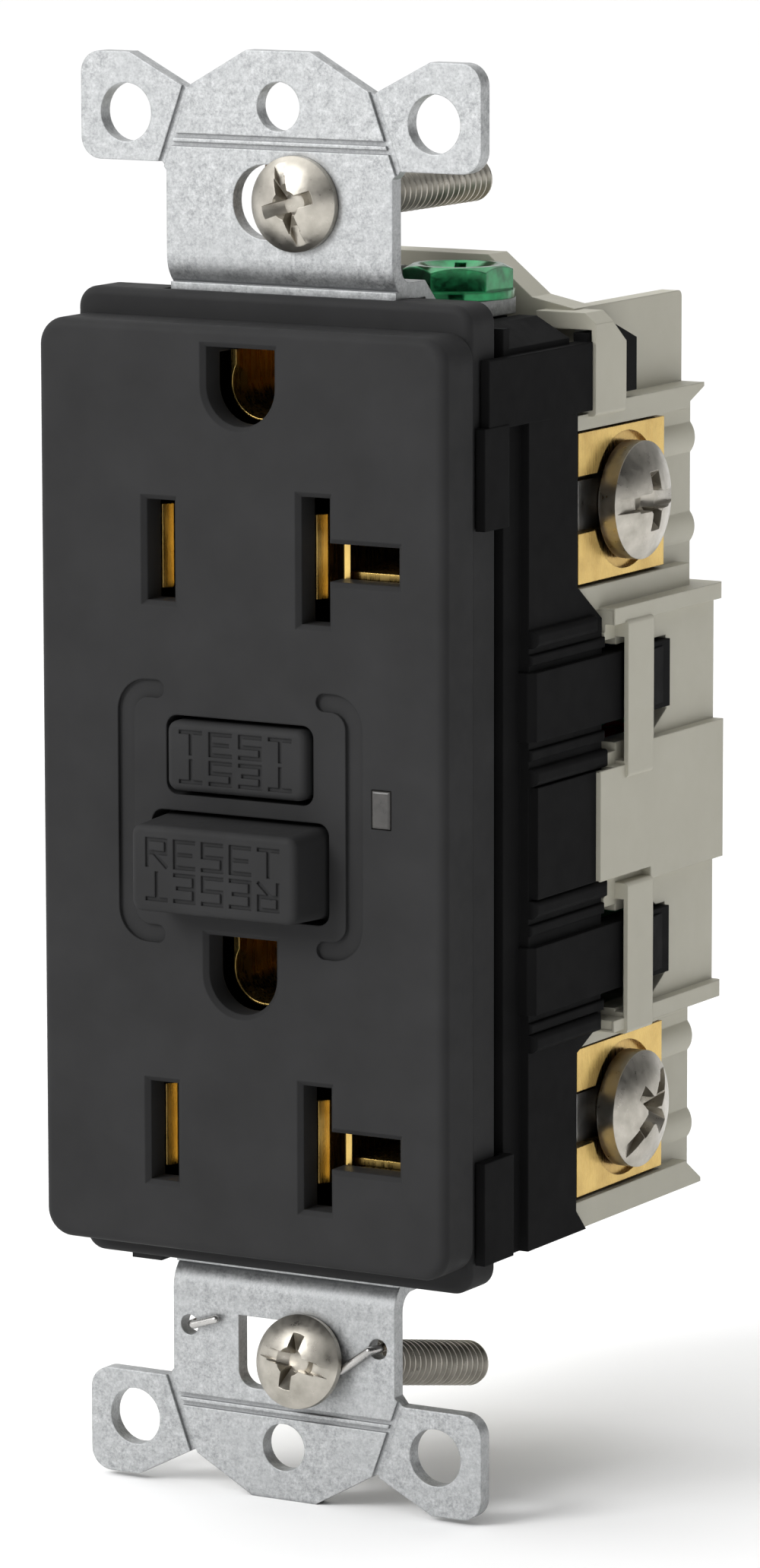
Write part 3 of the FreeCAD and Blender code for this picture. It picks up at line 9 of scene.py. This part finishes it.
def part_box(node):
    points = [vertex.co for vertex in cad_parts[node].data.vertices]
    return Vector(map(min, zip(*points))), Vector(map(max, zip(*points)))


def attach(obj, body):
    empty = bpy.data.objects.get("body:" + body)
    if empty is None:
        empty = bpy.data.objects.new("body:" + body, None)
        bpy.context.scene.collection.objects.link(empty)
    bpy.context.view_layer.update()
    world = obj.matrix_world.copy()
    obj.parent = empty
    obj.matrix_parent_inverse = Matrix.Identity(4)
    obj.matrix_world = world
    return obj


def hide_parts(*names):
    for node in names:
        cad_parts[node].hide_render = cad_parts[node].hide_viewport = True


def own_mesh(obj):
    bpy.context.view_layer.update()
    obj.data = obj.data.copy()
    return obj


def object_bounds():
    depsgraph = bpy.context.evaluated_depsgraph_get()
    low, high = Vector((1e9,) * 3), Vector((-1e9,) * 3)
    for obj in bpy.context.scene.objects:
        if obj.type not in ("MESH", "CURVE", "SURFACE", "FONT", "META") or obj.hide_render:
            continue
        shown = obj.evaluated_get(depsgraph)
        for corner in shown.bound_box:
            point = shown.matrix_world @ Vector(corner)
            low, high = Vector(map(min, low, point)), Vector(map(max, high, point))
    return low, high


MM = 0.001

# ---- camera, floor and light ----
CAMERA_PLACE = Vector((274.81, -460.55, 87.23)) * MM
CAMERA_AZIMUTH = radians(30.07)
CAMERA_ELEVATION = radians(9.22)
CAMERA_ROLL = radians(-0.115)
CAMERA_LENS = 175.0
FLOOR_HALF_SIZE = 6.0
KEY_PLACE = (-0.45, -0.85, 0.55)
KEY_TARGET = (0.0, 0.012, 0.0)
KEY_SIDE = 0.45
KEY_WATTS = 7.5

# ---- screws, in millimetres; a thread is its outer radius, its pitch and the bevel at its tip ----
UPPER_SCREW_SEAT = Vector((1.5, -0.05, 41.65)) * MM
LOWER_SCREW_SEAT = Vector((1.9, -0.757, -41.65)) * MM
LOWER_SCREW_DROOP = radians(12.0)
BOX_SCREW_NECK = 3.8
BOX_SCREW_REACH = 25.8
BOX_SCREW_THREAD = (1.7, 0.794, 0.55)
TERMINAL_HEAD_HEIGHT = 2.6
TERMINAL_NECK = 1.4
TERMINAL_THREAD = (2.0, 0.794, 0.5)
THREAD_DEPTH_PER_PITCH = 0.61
THREAD_PROFILE = ((0.0, 0.0), (0.22, 0.0), (0.53, 1.0), (0.69, 1.0))
THREAD_SIDES = 40

# ---- how far each button goes in, in millimetres ----
TEST_TRAVEL = 1.0
RESET_TRAVEL = 3.0

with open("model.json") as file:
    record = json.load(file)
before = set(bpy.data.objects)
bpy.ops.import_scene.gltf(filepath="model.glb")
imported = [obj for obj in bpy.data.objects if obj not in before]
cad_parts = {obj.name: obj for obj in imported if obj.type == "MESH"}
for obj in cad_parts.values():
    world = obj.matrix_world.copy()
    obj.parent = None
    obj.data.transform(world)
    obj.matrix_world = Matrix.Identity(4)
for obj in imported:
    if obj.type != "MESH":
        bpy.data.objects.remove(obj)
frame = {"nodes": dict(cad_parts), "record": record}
cad_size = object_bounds()


# ---- materials ----
class Finish:
    """One material's node tree, with short calls for the nodes that the finishes share."""

    def __init__(self, name, colour, roughness, metallic=0.0, specular=0.5):
        self.material = bpy.data.materials.new(name)
        self.material.use_nodes = True
        self.tree = self.material.node_tree
        self.shader = self.tree.nodes["Principled BSDF"]
        self.shader.inputs["Base Color"].default_value = (*colour, 1.0)
        self.shader.inputs["Roughness"].default_value = roughness
        self.shader.inputs["Metallic"].default_value = metallic
        self.shader.inputs["Specular IOR Level"].default_value = specular
        self.place = self.tree.nodes.new("ShaderNodeTexCoord").outputs["Object"]
        self.normal = None

    def stretched(self, stretch):
        """Object coordinates, scaled on each axis."""
        mapping = self.tree.nodes.new("ShaderNodeMapping")
        mapping.inputs["Scale"].default_value = stretch
        self.tree.links.new(self.place, mapping.inputs["Vector"])
        return mapping.outputs["Vector"]

    def noise(self, size, detail=3.0, rough=0.55, stretch=(1, 1, 1)):
        """Noise whose blobs are about this size in millimetres."""
        node = self.tree.nodes.new("ShaderNodeTexNoise")
        node.inputs["Scale"].default_value = 1.0 / (size * MM)
        node.inputs["Detail"].default_value = detail
        node.inputs["Roughness"].default_value = rough
        self.tree.links.new(self.stretched(stretch), node.inputs["Vector"])
        return node.outputs["Fac"]

    def cells(self, size, feature="F1", output="Distance", stretch=(1, 1, 1)):
        node = self.tree.nodes.new("ShaderNodeTexVoronoi")
        node.feature = feature
        node.inputs["Scale"].default_value = 1.0 / (size * MM)
        self.tree.links.new(self.stretched(stretch), node.inputs["Vector"])
        return node.outputs[output]

    def span(self, value, low, high, to_low, to_high):
        """Value from the range low..high, moved to the range to_low..to_high and clamped."""
        node = self.tree.nodes.new("ShaderNodeMapRange")
        for name, number in zip(("From Min", "From Max", "To Min", "To Max"), (low, high, to_low, to_high)):
            node.inputs[name].default_value = number
        self.tree.links.new(value, node.inputs["Value"])
        return node.outputs["Result"]

    def maths(self, operation, first, second):
        node = self.tree.nodes.new("ShaderNodeMath")
        node.operation = operation
        for socket, value in zip(node.inputs, (first, second)):
            if isinstance(value, (int, float)):
                socket.default_value = value
            else:
                self.tree.links.new(value, socket)
        return node.outputs["Value"]

    def blend(self, factor, first, second):
        """Colour between two colours, or between one colour and an earlier blend. The Mix node's
        colour inputs are its sockets 6 and 7, and its colour output is socket 2."""
        node = self.tree.nodes.new("ShaderNodeMix")
        node.data_type = "RGBA"
        self.tree.links.new(factor, node.inputs["Factor"])
        for socket, value in zip(node.inputs[6:8], (first, second)):
            if isinstance(value, tuple):
                socket.default_value = (*value, 1.0)
            else:
                self.tree.links.new(value, socket)
        return node.outputs[2]

    def shade_in_hollows(self, distance, low, high):
        """Mask for painted shade: 0 in the open, rising to 1 in recesses narrower than this distance in
        millimetres.
        """
        node = self.tree.nodes.new("ShaderNodeAmbientOcclusion")
        node.samples = 8
        node.inputs["Distance"].default_value = distance * MM
        return self.span(node.outputs["AO"], low, high, 1.0, 0.0)

    def colour(self, value):
        self.tree.links.new(value, self.shader.inputs["Base Color"])

    def roughness(self, value):
        self.tree.links.new(value, self.shader.inputs["Roughness"])

    def soft_edges(self, radius):
        """Rounds the shading of sharp edges, as a moulding or stamping has."""
        node = self.tree.nodes.new("ShaderNodeBevel")
        node.samples = 4
        node.inputs["Radius"].default_value = radius * MM
        self.normal = node.outputs["Normal"]

    def relief(self, height, depth, strength=1.0):
        """Bump of this depth in millimetres, on top of what was there."""
        node = self.tree.nodes.new("ShaderNodeBump")
        node.inputs["Strength"].default_value = strength
        node.inputs["Distance"].default_value = depth * MM
        self.tree.links.new(height, node.inputs["Height"])
        if self.normal is not None:
            self.tree.links.new(self.normal, node.inputs["Normal"])
        self.normal = node.outputs["Normal"]

    def done(self):
        if self.normal is not None:
            self.tree.links.new(self.normal, self.shader.inputs["Normal"])
        return self.material


def plastic(name, colour, shade, roughness, grain, edge, specular=0.5):
    """Moulded plastic: faint cloudiness in its colour, a spark-eroded grain and soft edges."""
    finish = Finish(name, colour, roughness, specular=specular)
    cloud = finish.span(finish.noise(6.0, 4.0), 0.3, 0.7, 0.0, 1.0)
    finish.colour(finish.blend(cloud, colour, shade))
    finish.roughness(finish.span(finish.noise(1.3, 5.0), 0.3, 0.7, roughness - 0.05, roughness + 0.07))
    finish.soft_edges(edge)
    finish.relief(finish.noise(0.16, 2.0, 0.6), grain, 0.6)
    finish.relief(finish.noise(9.0, 2.0), 0.02, 0.5)
    return finish.done()


def black_plastic():
    """Finely textured black of the face cover and the buttons."""
    return plastic("black_plastic", (0.0265, 0.0265, 0.0269), (0.032, 0.032, 0.0326), 0.5, 0.006, 0.16, 0.03)


def shaded_housing_plastic():
    """Smoother grain, and a darker copy of the face-cover black: painted shade on the front housing's sides,
    which face away from the light.
    """
    return plastic("shaded_housing_plastic", (0.0092, 0.0092, 0.0094), (0.0118, 0.0118, 0.012), 0.5, 0.004, 0.16,
                   0.012)


def beige_plastic():
    return plastic("beige_plastic", (0.455, 0.438, 0.362), (0.482, 0.465, 0.385), 0.45, 0.004, 0.14, 0.25)


def white_plastic():
    return plastic("white_plastic", (0.72, 0.71, 0.66), (0.76, 0.75, 0.71), 0.4, 0.003, 0.1, 0.5)


def galvanised_steel():
    """Zinc plate: fine light and dark speckle, dull patches, and painted shade along creases and edges."""
    finish = Finish("galvanised_steel", (0.55, 0.56, 0.57), 0.38, metallic=0.75)
    speckle = finish.noise(0.22, 5.0, 0.75)
    cloud = finish.noise(0.75, 6.0, 0.75)
    patches = finish.noise(5.0, 4.0)
    tone = finish.span(finish.maths("ADD", speckle, cloud), 0.8, 1.22, 0.0, 1.0)
    base = finish.blend(tone, (0.25, 0.258, 0.262), (0.58, 0.59, 0.595))
    worn = finish.blend(finish.span(patches, 0.35, 0.7, 0.0, 0.5), base, (0.44, 0.45, 0.455))
    # painted shade: darker grey in creases and hollows, where shade falls
    finish.colour(finish.blend(finish.shade_in_hollows(0.5, 0.3, 0.8), worn, (0.21, 0.215, 0.22)))
    finish.roughness(finish.span(tone, 0.0, 1.0, 0.4, 0.56))
    finish.soft_edges(0.14)
    finish.relief(cloud, 0.014, 0.6)
    finish.relief(speckle, 0.008, 0.6)
    return finish.done()


def plated(name, light, dark, roughness, edge=0.06):
    """Barrel-plated small part: painted shade, in dark brown, in the hollows, and fine handling marks."""
    finish = Finish(name, light, roughness, metallic=1.0)
    patches = finish.span(finish.noise(1.6, 5.0), 0.35, 0.7, 0.0, 1.0)
    bright = finish.blend(patches, light, dark)
    # painted shade: dark brown in recesses and thread grooves, where shade falls
    finish.colour(finish.blend(finish.shade_in_hollows(1.2, 0.22, 0.6), bright, (0.12, 0.088, 0.052)))
    finish.roughness(finish.span(finish.noise(0.7, 6.0, 0.7), 0.3, 0.7, roughness - 0.07, roughness + 0.12))
    finish.soft_edges(edge)
    finish.relief(finish.noise(0.22, 4.0, 0.6), 0.004, 0.6)
    return finish.done()


def nickel_screw():
    return plated("nickel_screw", (0.52, 0.49, 0.435), (0.37, 0.35, 0.305), 0.31)


def green_screw():
    finish = Finish("green_screw", (0.02, 0.25, 0.08), 0.2, metallic=1.0)
    patches = finish.span(finish.noise(1.2, 5.0), 0.35, 0.7, 0.0, 1.0)
    finish.colour(finish.blend(patches, (0.02, 0.24, 0.085), (0.006, 0.085, 0.028)))
    finish.roughness(finish.span(finish.noise(0.5, 5.0), 0.3, 0.7, 0.1, 0.24))
    finish.shader.inputs["Coat Weight"].default_value = 0.5
    finish.shader.inputs["Coat Roughness"].default_value = 0.12
    finish.soft_edges(0.16)
    finish.relief(finish.noise(0.25, 4.0), 0.006, 0.7)
    return finish.done()


def brass():
    """Rolled brass: long faint rolling lines, painted a little lighter along them as a highlight, a little
    brown tarnish, and painted shade in the hollows.
    """
    finish = Finish("brass", (0.80, 0.57, 0.20), 0.27, metallic=1.0)
    tarnish = finish.span(finish.noise(2.4, 5.0), 0.4, 0.72, 0.0, 1.0)
    lines = finish.noise(0.3, 3.0, 0.6, (1, 1, 0.06))
    base = finish.blend(tarnish, (0.66, 0.455, 0.14), (0.48, 0.31, 0.085))
    # rolling lines, real, painted a little lighter as a highlight along them
    rolling_lines_and_highlight = finish.blend(finish.span(lines, 0.35, 0.7, 0.0, 0.25), base, (0.74, 0.56, 0.22))
    # painted shade: dark brown in the hollows, where shade falls
    finish.colour(finish.blend(finish.shade_in_hollows(1.2, 0.3, 0.8), rolling_lines_and_highlight, (0.30, 0.17, 0.05)))
    finish.roughness(finish.span(lines, 0.3, 0.7, 0.2, 0.36))
    finish.soft_edges(0.07)
    finish.relief(lines, 0.003, 0.5)
    return finish.done()


def steel():
    return plated("steel", (0.50, 0.50, 0.50), (0.38, 0.38, 0.375), 0.34)


def spring_steel():
    return plated("spring_steel", (0.56, 0.55, 0.53), (0.42, 0.41, 0.40), 0.27, 0.03)


def fibre():
    """Vulcanised fibre sheet: short brown fibres lying every way."""
    finish = Finish("fibre", (0.30, 0.21, 0.13), 0.75, specular=0.3)
    strands = finish.noise(0.35, 6.0, 0.7, (1, 1, 0.3))
    finish.colour(finish.blend(strands, (0.22, 0.145, 0.085), (0.40, 0.29, 0.19)))
    finish.relief(strands, 0.02, 0.6)
    return finish.done()


def lens():
    """Cloudy clear moulding, painted dark as the shade of the housing's hollow behind it."""
    finish = Finish("lens", (0.12, 0.112, 0.108), 0.2, specular=0.45)
    cloud = finish.span(finish.noise(0.9, 4.0), 0.3, 0.7, 0.0, 1.0)
    # painted shade: the dark of the hollow behind the lens, put into its colour
    finish.colour(finish.blend(cloud, (0.038, 0.036, 0.034), (0.07, 0.066, 0.062)))
    finish.shader.inputs["Transmission Weight"].default_value = 0.25
    finish.roughness(finish.span(cloud, 0.0, 1.0, 0.12, 0.28))
    finish.soft_edges(0.08)
    return finish.done()


def led():
    finish = Finish("led", (0.5, 0.03, 0.02), 0.12, specular=0.6)
    finish.colour(finish.blend(finish.noise(0.7), (0.42, 0.02, 0.015), (0.6, 0.06, 0.04)))
    finish.shader.inputs["Transmission Weight"].default_value = 0.4
    return finish.done()


def board():
    """Glass-epoxy board: woven glass seen through the green solder resist, with copper lines."""
    finish = Finish("board", (0.02, 0.16, 0.07), 0.35, specular=0.5)
    warp = finish.noise(0.5, 0.0, 0.5, (1, 1, 0.1))
    weft = finish.noise(0.5, 0.0, 0.5, (0.1, 1, 1))
    weave = finish.maths("MULTIPLY", warp, weft)
    tracks = finish.cells(3.6, "DISTANCE_TO_EDGE", stretch=(1, 0.01, 1))
    ground = finish.blend(finish.span(weave, 0.15, 0.4, 0.0, 1.0), (0.015, 0.13, 0.055), (0.03, 0.20, 0.09))
    finish.colour(finish.blend(finish.span(tracks, 0.07, 0.09, 1.0, 0.0), ground, (0.05, 0.27, 0.12)))
    finish.relief(finish.span(tracks, 0.07, 0.09, 1.0, 0.0), 0.03, 0.8)
    return finish.done()


def enamelled(name, light, dark):
    """Lacquered copper wire, wound in rings round the Z axis."""
    finish = Finish(name, light, 0.25, metallic=0.7)
    finish.relief(finish.noise(0.5, 0.0, 0.5, (0.01, 0.01, 1)), 0.12, 0.9)
    finish.colour(finish.blend(finish.span(finish.noise(1.1, 4.0), 0.35, 0.7, 0.0, 1.0), light, dark))
    finish.roughness(finish.span(finish.noise(0.4, 4.0), 0.3, 0.7, 0.18, 0.34))
    finish.shader.inputs["Coat Weight"].default_value = 0.4
    finish.shader.inputs["Coat Roughness"].default_value = 0.15
    return finish.done()


def copper_coil():
    return enamelled("copper_coil", (0.62, 0.23, 0.09), (0.42, 0.13, 0.05))


def dipped(name, light, dark, roughness=0.3):
    """Dipped or lacquered resin skin of a component: smooth, slightly orange-peeled."""
    finish = Finish(name, light, roughness)
    finish.colour(finish.blend(finish.span(finish.noise(2.2, 4.0), 0.35, 0.7, 0.0, 1.0), light, dark))
    finish.roughness(finish.span(finish.noise(0.8, 3.0), 0.3, 0.7, roughness - 0.06, roughness + 0.1))
    finish.soft_edges(0.1)
    finish.relief(finish.noise(0.8, 2.0), 0.02, 0.5)
    return finish.done()


def ferrite():
    return dipped("ferrite", (0.055, 0.075, 0.13), (0.04, 0.055, 0.10), 0.4)


def component():
    return dipped("component", (0.022, 0.022, 0.025), (0.035, 0.035, 0.037), 0.42)


def film_capacitor():
    return dipped("film_capacitor", (0.50, 0.20, 0.03), (0.40, 0.15, 0.02))


def varistor():
    return dipped("varistor", (0.02, 0.07, 0.25), (0.015, 0.05, 0.18))


def resistor():
    return dipped("resistor", (0.42, 0.31, 0.17), (0.36, 0.26, 0.14))


MAKERS = (black_plastic, shaded_housing_plastic, beige_plastic, white_plastic, galvanised_steel, nickel_screw,
          green_screw, brass, steel, spring_steel, fibre, lens, led, board, copper_coil, ferrite, component,
          film_capacitor, varistor, resistor)
FINISHES = {maker.__name__: maker() for maker in MAKERS}
SLOT_OF = {row["node"]: row["material_slot"] for row in frame["record"]["subparts"]}


def paint(piece, slot):
    piece.data.materials.clear()
    piece.data.materials.append(FINISHES[slot])


def dress_cad_nodes():
    """Every CAD node in its slot's finish; the front housing takes a darker copy of the black, as painted
    shade on its sides.
    """
    for name, node in frame["nodes"].items():
        paint(node, "shaded_housing_plastic" if name == "front_housing" else SLOT_OF[name])


# ---- threads, coils and other pieces made here ----
def add_piece(name, mesh, slot, body):
    """A finished mesh, as a piece that rides on a body and takes a slot's finish."""
    piece = bpy.data.objects.new(name, mesh)
    bpy.context.scene.collection.objects.link(piece)
    paint(piece, slot)
    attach(piece, body)
    return piece


def mesh_from(bm, name, smooth_angle=35):
    """Mesh with outward faces, smooth except where faces meet at more than this angle."""
    bmesh.ops.recalc_face_normals(bm, faces=bm.faces)
    for face in bm.faces:
        face.smooth = True
    for edge in bm.edges:
        edge.smooth = edge.is_manifold and edge.calc_face_angle(pi) < radians(smooth_angle)
    mesh = bpy.data.meshes.new(name)
    bm.to_mesh(mesh)
    bm.free()
    return mesh


def add_thread(bm, origin, axis, length, major, minor, pitch, start_radius, tip_radius):
    """Closed 60-degree thread that runs from origin along axis, with a bevel at both ends."""
    axis = axis.normalized()
    across = axis.orthogonal().normalized()
    beside = axis.cross(across)
    turns = ceil(length / pitch) + 2
    rows = []
    for step in range((turns + 1) * THREAD_SIDES + 1):
        angle = 2 * pi * step / THREAD_SIDES
        direction = across * cos(angle) + beside * sin(angle)
        row = []
        for share, crest in THREAD_PROFILE:
            along = min(max((step / THREAD_SIDES + share - 1.5) * pitch, 0.0), length)
            limit = min(start_radius + along, tip_radius + (length - along))
            radius = min(minor + (major - minor) * crest, limit)
            row.append(bm.verts.new(origin + axis * along + direction * radius))
        rows.append(row)
    last = len(THREAD_PROFILE) - 1
    for step in range(len(rows) - 1):
        here, there = rows[step], rows[step + 1]
        for i in range(last):
            bm.faces.new((here[i], there[i], there[i + 1], here[i + 1]))
        if step + 1 + THREAD_SIDES < len(rows):
            above, above_there = rows[step + THREAD_SIDES], rows[step + 1 + THREAD_SIDES]
            bm.faces.new((here[last], there[last], above_there[0], above[0]))
    vertices = [vertex for row in rows for vertex in row]
    bmesh.ops.remove_doubles(bm, verts=vertices, dist=0.002 * MM)


def close_holes(bm):
    """Caps every open ring of edges."""
    open_edges = [edge for edge in bm.edges if edge.is_boundary]
    bmesh.ops.holes_fill(bm, edges=open_edges, sides=0)
    loose = [vertex for vertex in bm.verts if not vertex.link_faces]
    bmesh.ops.delete(bm, geom=loose, context="VERTS")


def head_of(node, cut_at, axis):
    """The part of a CAD screw on the head's side of a plane across its shank, capped."""
    bm = bmesh.new()
    bm.from_mesh(frame["nodes"][node].data)
    bmesh.ops.remove_doubles(bm, verts=bm.verts, dist=0.001 * MM)
    geometry = bm.verts[:] + bm.edges[:] + bm.faces[:]
    bmesh.ops.bisect_plane(bm, geom=geometry, plane_co=cut_at, plane_no=axis, clear_outer=True,
                           dist=0.0005 * MM)
    close_holes(bm)
    return bm


def screw_piece(node, seat, axis, plain, length, thread_size):
    """Replaces a CAD screw by its head, its plain neck and a real thread, on the body of its name.
    seat is the middle of the head's underside, axis points to the tip, lengths are from the seat."""
    major, pitch, tip_bevel = [size * MM for size in thread_size]
    bm = head_of(node, seat + axis * (plain - 0.15 * MM), axis)
    minor = major - THREAD_DEPTH_PER_PITCH * pitch
    start = plain - 0.3 * MM
    thread = bmesh.new()
    add_thread(thread, seat + axis * start, axis, length - start, major, minor, pitch, minor,
               major - tip_bevel)
    close_holes(thread)
    part = bpy.data.meshes.new("thread")
    thread.to_mesh(part)
    thread.free()
    bm.from_mesh(part)
    bpy.data.meshes.remove(part)
    piece = add_piece(node + "_threaded", mesh_from(bm, node + "_threaded"), SLOT_OF[node], node)
    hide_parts(node)


def middle(node):
    low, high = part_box(node)
    return (low + high) / 2


# ---- floor, light and camera ----
def floor():
    """Plain pale floor under the object's lowest point."""
    level = cad_size[0][2]
    bm = bmesh.new()
    bmesh.ops.create_grid(bm, x_segments=2, y_segments=2, size=FLOOR_HALF_SIZE)
    mesh = bpy.data.meshes.new("floor")
    bm.to_mesh(mesh)
    bm.free()
    piece = bpy.data.objects.new("floor", mesh)
    piece.location.z = level
    bpy.context.scene.collection.objects.link(piece)
    finish = Finish("floor", (0.96, 0.96, 0.96), 0.85, specular=0.05)
    finish.colour(finish.blend(finish.noise(300.0), (0.95, 0.95, 0.95), (0.97, 0.97, 0.97)))
    mesh.materials.append(finish.done())


def key_light():
    """Soft square lamp in front, to the left and above."""
    light = bpy.data.lights.new("key", "AREA")
    light.shape = "RECTANGLE"
    light.size = light.size_y = KEY_SIDE
    light.energy = KEY_WATTS
    lamp = bpy.data.objects.new("key", light)
    lamp.location = KEY_PLACE
    direction = Vector(KEY_TARGET) - Vector(KEY_PLACE)
    lamp.rotation_euler = direction.to_track_quat("-Z", "Y").to_euler()
    bpy.context.scene.collection.objects.link(lamp)


def studio():
    """White room, brighter overhead and on the left, with a pale horizon all round."""
    world = bpy.data.worlds.new("studio")
    world.use_nodes = True
    tree = world.node_tree
    direction = tree.nodes.new("ShaderNodeTexCoord").outputs["Generated"]
    parts = tree.nodes.new("ShaderNodeSeparateXYZ")
    tree.links.new(direction, parts.inputs["Vector"])

    def ramp(part, *numbers):
        node = tree.nodes.new("ShaderNodeMapRange")
        for name, number in zip(("From Min", "From Max", "To Min", "To Max"), numbers):
            node.inputs[name].default_value = number
        tree.links.new(parts.outputs[part], node.inputs["Value"])
        return node.outputs["Result"]

    def maths(operation, first, second):
        node = tree.nodes.new("ShaderNodeMath")
        node.operation = operation
        tree.links.new(first, node.inputs[0])
        tree.links.new(second, node.inputs[1])
        return node.outputs["Value"]

    room = maths("MULTIPLY", ramp("Z", 0.15, 1.0, 0.3, 1.8), ramp("X", -1.0, 0.9, 1.8, 0.0))
    horizon = ramp("Z", 0.06, 0.16, 0.95, 0.0)
    background = tree.nodes["Background"]
    background.inputs["Color"].default_value = (1.0, 1.0, 1.0, 1.0)
    tree.links.new(maths("MAXIMUM", room, horizon), background.inputs["Strength"])
    bpy.context.scene.world = world


def camera():
    back = Vector((sin(CAMERA_AZIMUTH) * cos(CAMERA_ELEVATION), -cos(CAMERA_AZIMUTH) * cos(CAMERA_ELEVATION),
                   sin(CAMERA_ELEVATION)))
    right = Vector((0, 0, 1)).cross(back).normalized()
    up = back.cross(right)
    rolled_right = right * cos(CAMERA_ROLL) + up * sin(CAMERA_ROLL)
    rolled_up = up * cos(CAMERA_ROLL) - right * sin(CAMERA_ROLL)
    data = bpy.data.cameras.new("camera")
    data.lens = CAMERA_LENS
    data.sensor_width = 36.0
    data.clip_start = 0.01
    data.clip_end = 50.0
    view = bpy.data.objects.new("camera", data)
    turn = Matrix((rolled_right, rolled_up, back)).transposed().to_4x4()
    view.matrix_world = Matrix.Translation(CAMERA_PLACE) @ turn
    bpy.context.scene.collection.objects.link(view)
    bpy.context.scene.camera = view


def box_screws():
    """The upper screw stands straight in its slot, the lower one hangs with its tip down."""
    for node, seat, droop in (("upper_box_screw", UPPER_SCREW_SEAT, 0.0),
                              ("lower_box_screw", LOWER_SCREW_SEAT, LOWER_SCREW_DROOP)):
        axis = Vector((0, cos(droop), -sin(droop)))
        screw_piece(node, seat, axis, BOX_SCREW_NECK * MM, BOX_SCREW_REACH * MM, BOX_SCREW_THREAD)


def terminal_screws():
    for pole, sign in (("hot", -1), ("neutral", 1)):
        for end in ("load", "line"):
            node = end + "_" + pole + "_screw"
            low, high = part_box(node)
            outer, inner = (high.x, low.x) if sign > 0 else (low.x, high.x)
            centre = middle(node)
            seat = Vector((outer - sign * TERMINAL_HEAD_HEIGHT * MM, centre.y, centre.z))
            screw_piece(node, seat, Vector((-sign, 0, 0)), TERMINAL_NECK * MM, abs(seat.x - inner),
                        TERMINAL_THREAD)


def button_springs():
    """Each button's coil spring, a copy of its CAD spring on the root body in place of the CAD node."""
    for node, joint, travel in (("test_spring", "test_press", TEST_TRAVEL),
                                ("reset_spring", "reset_press", RESET_TRAVEL)):
        piece = add_piece(node + "_coil", frame["nodes"][node].data.copy(), SLOT_OF[node], "root")
        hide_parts(node)
        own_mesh(piece)


dress_cad_nodes()
box_screws()
terminal_screws()
button_springs()
floor()
studio()
key_light()
camera()
bpy.context.scene.view_settings.view_transform = "Standard"
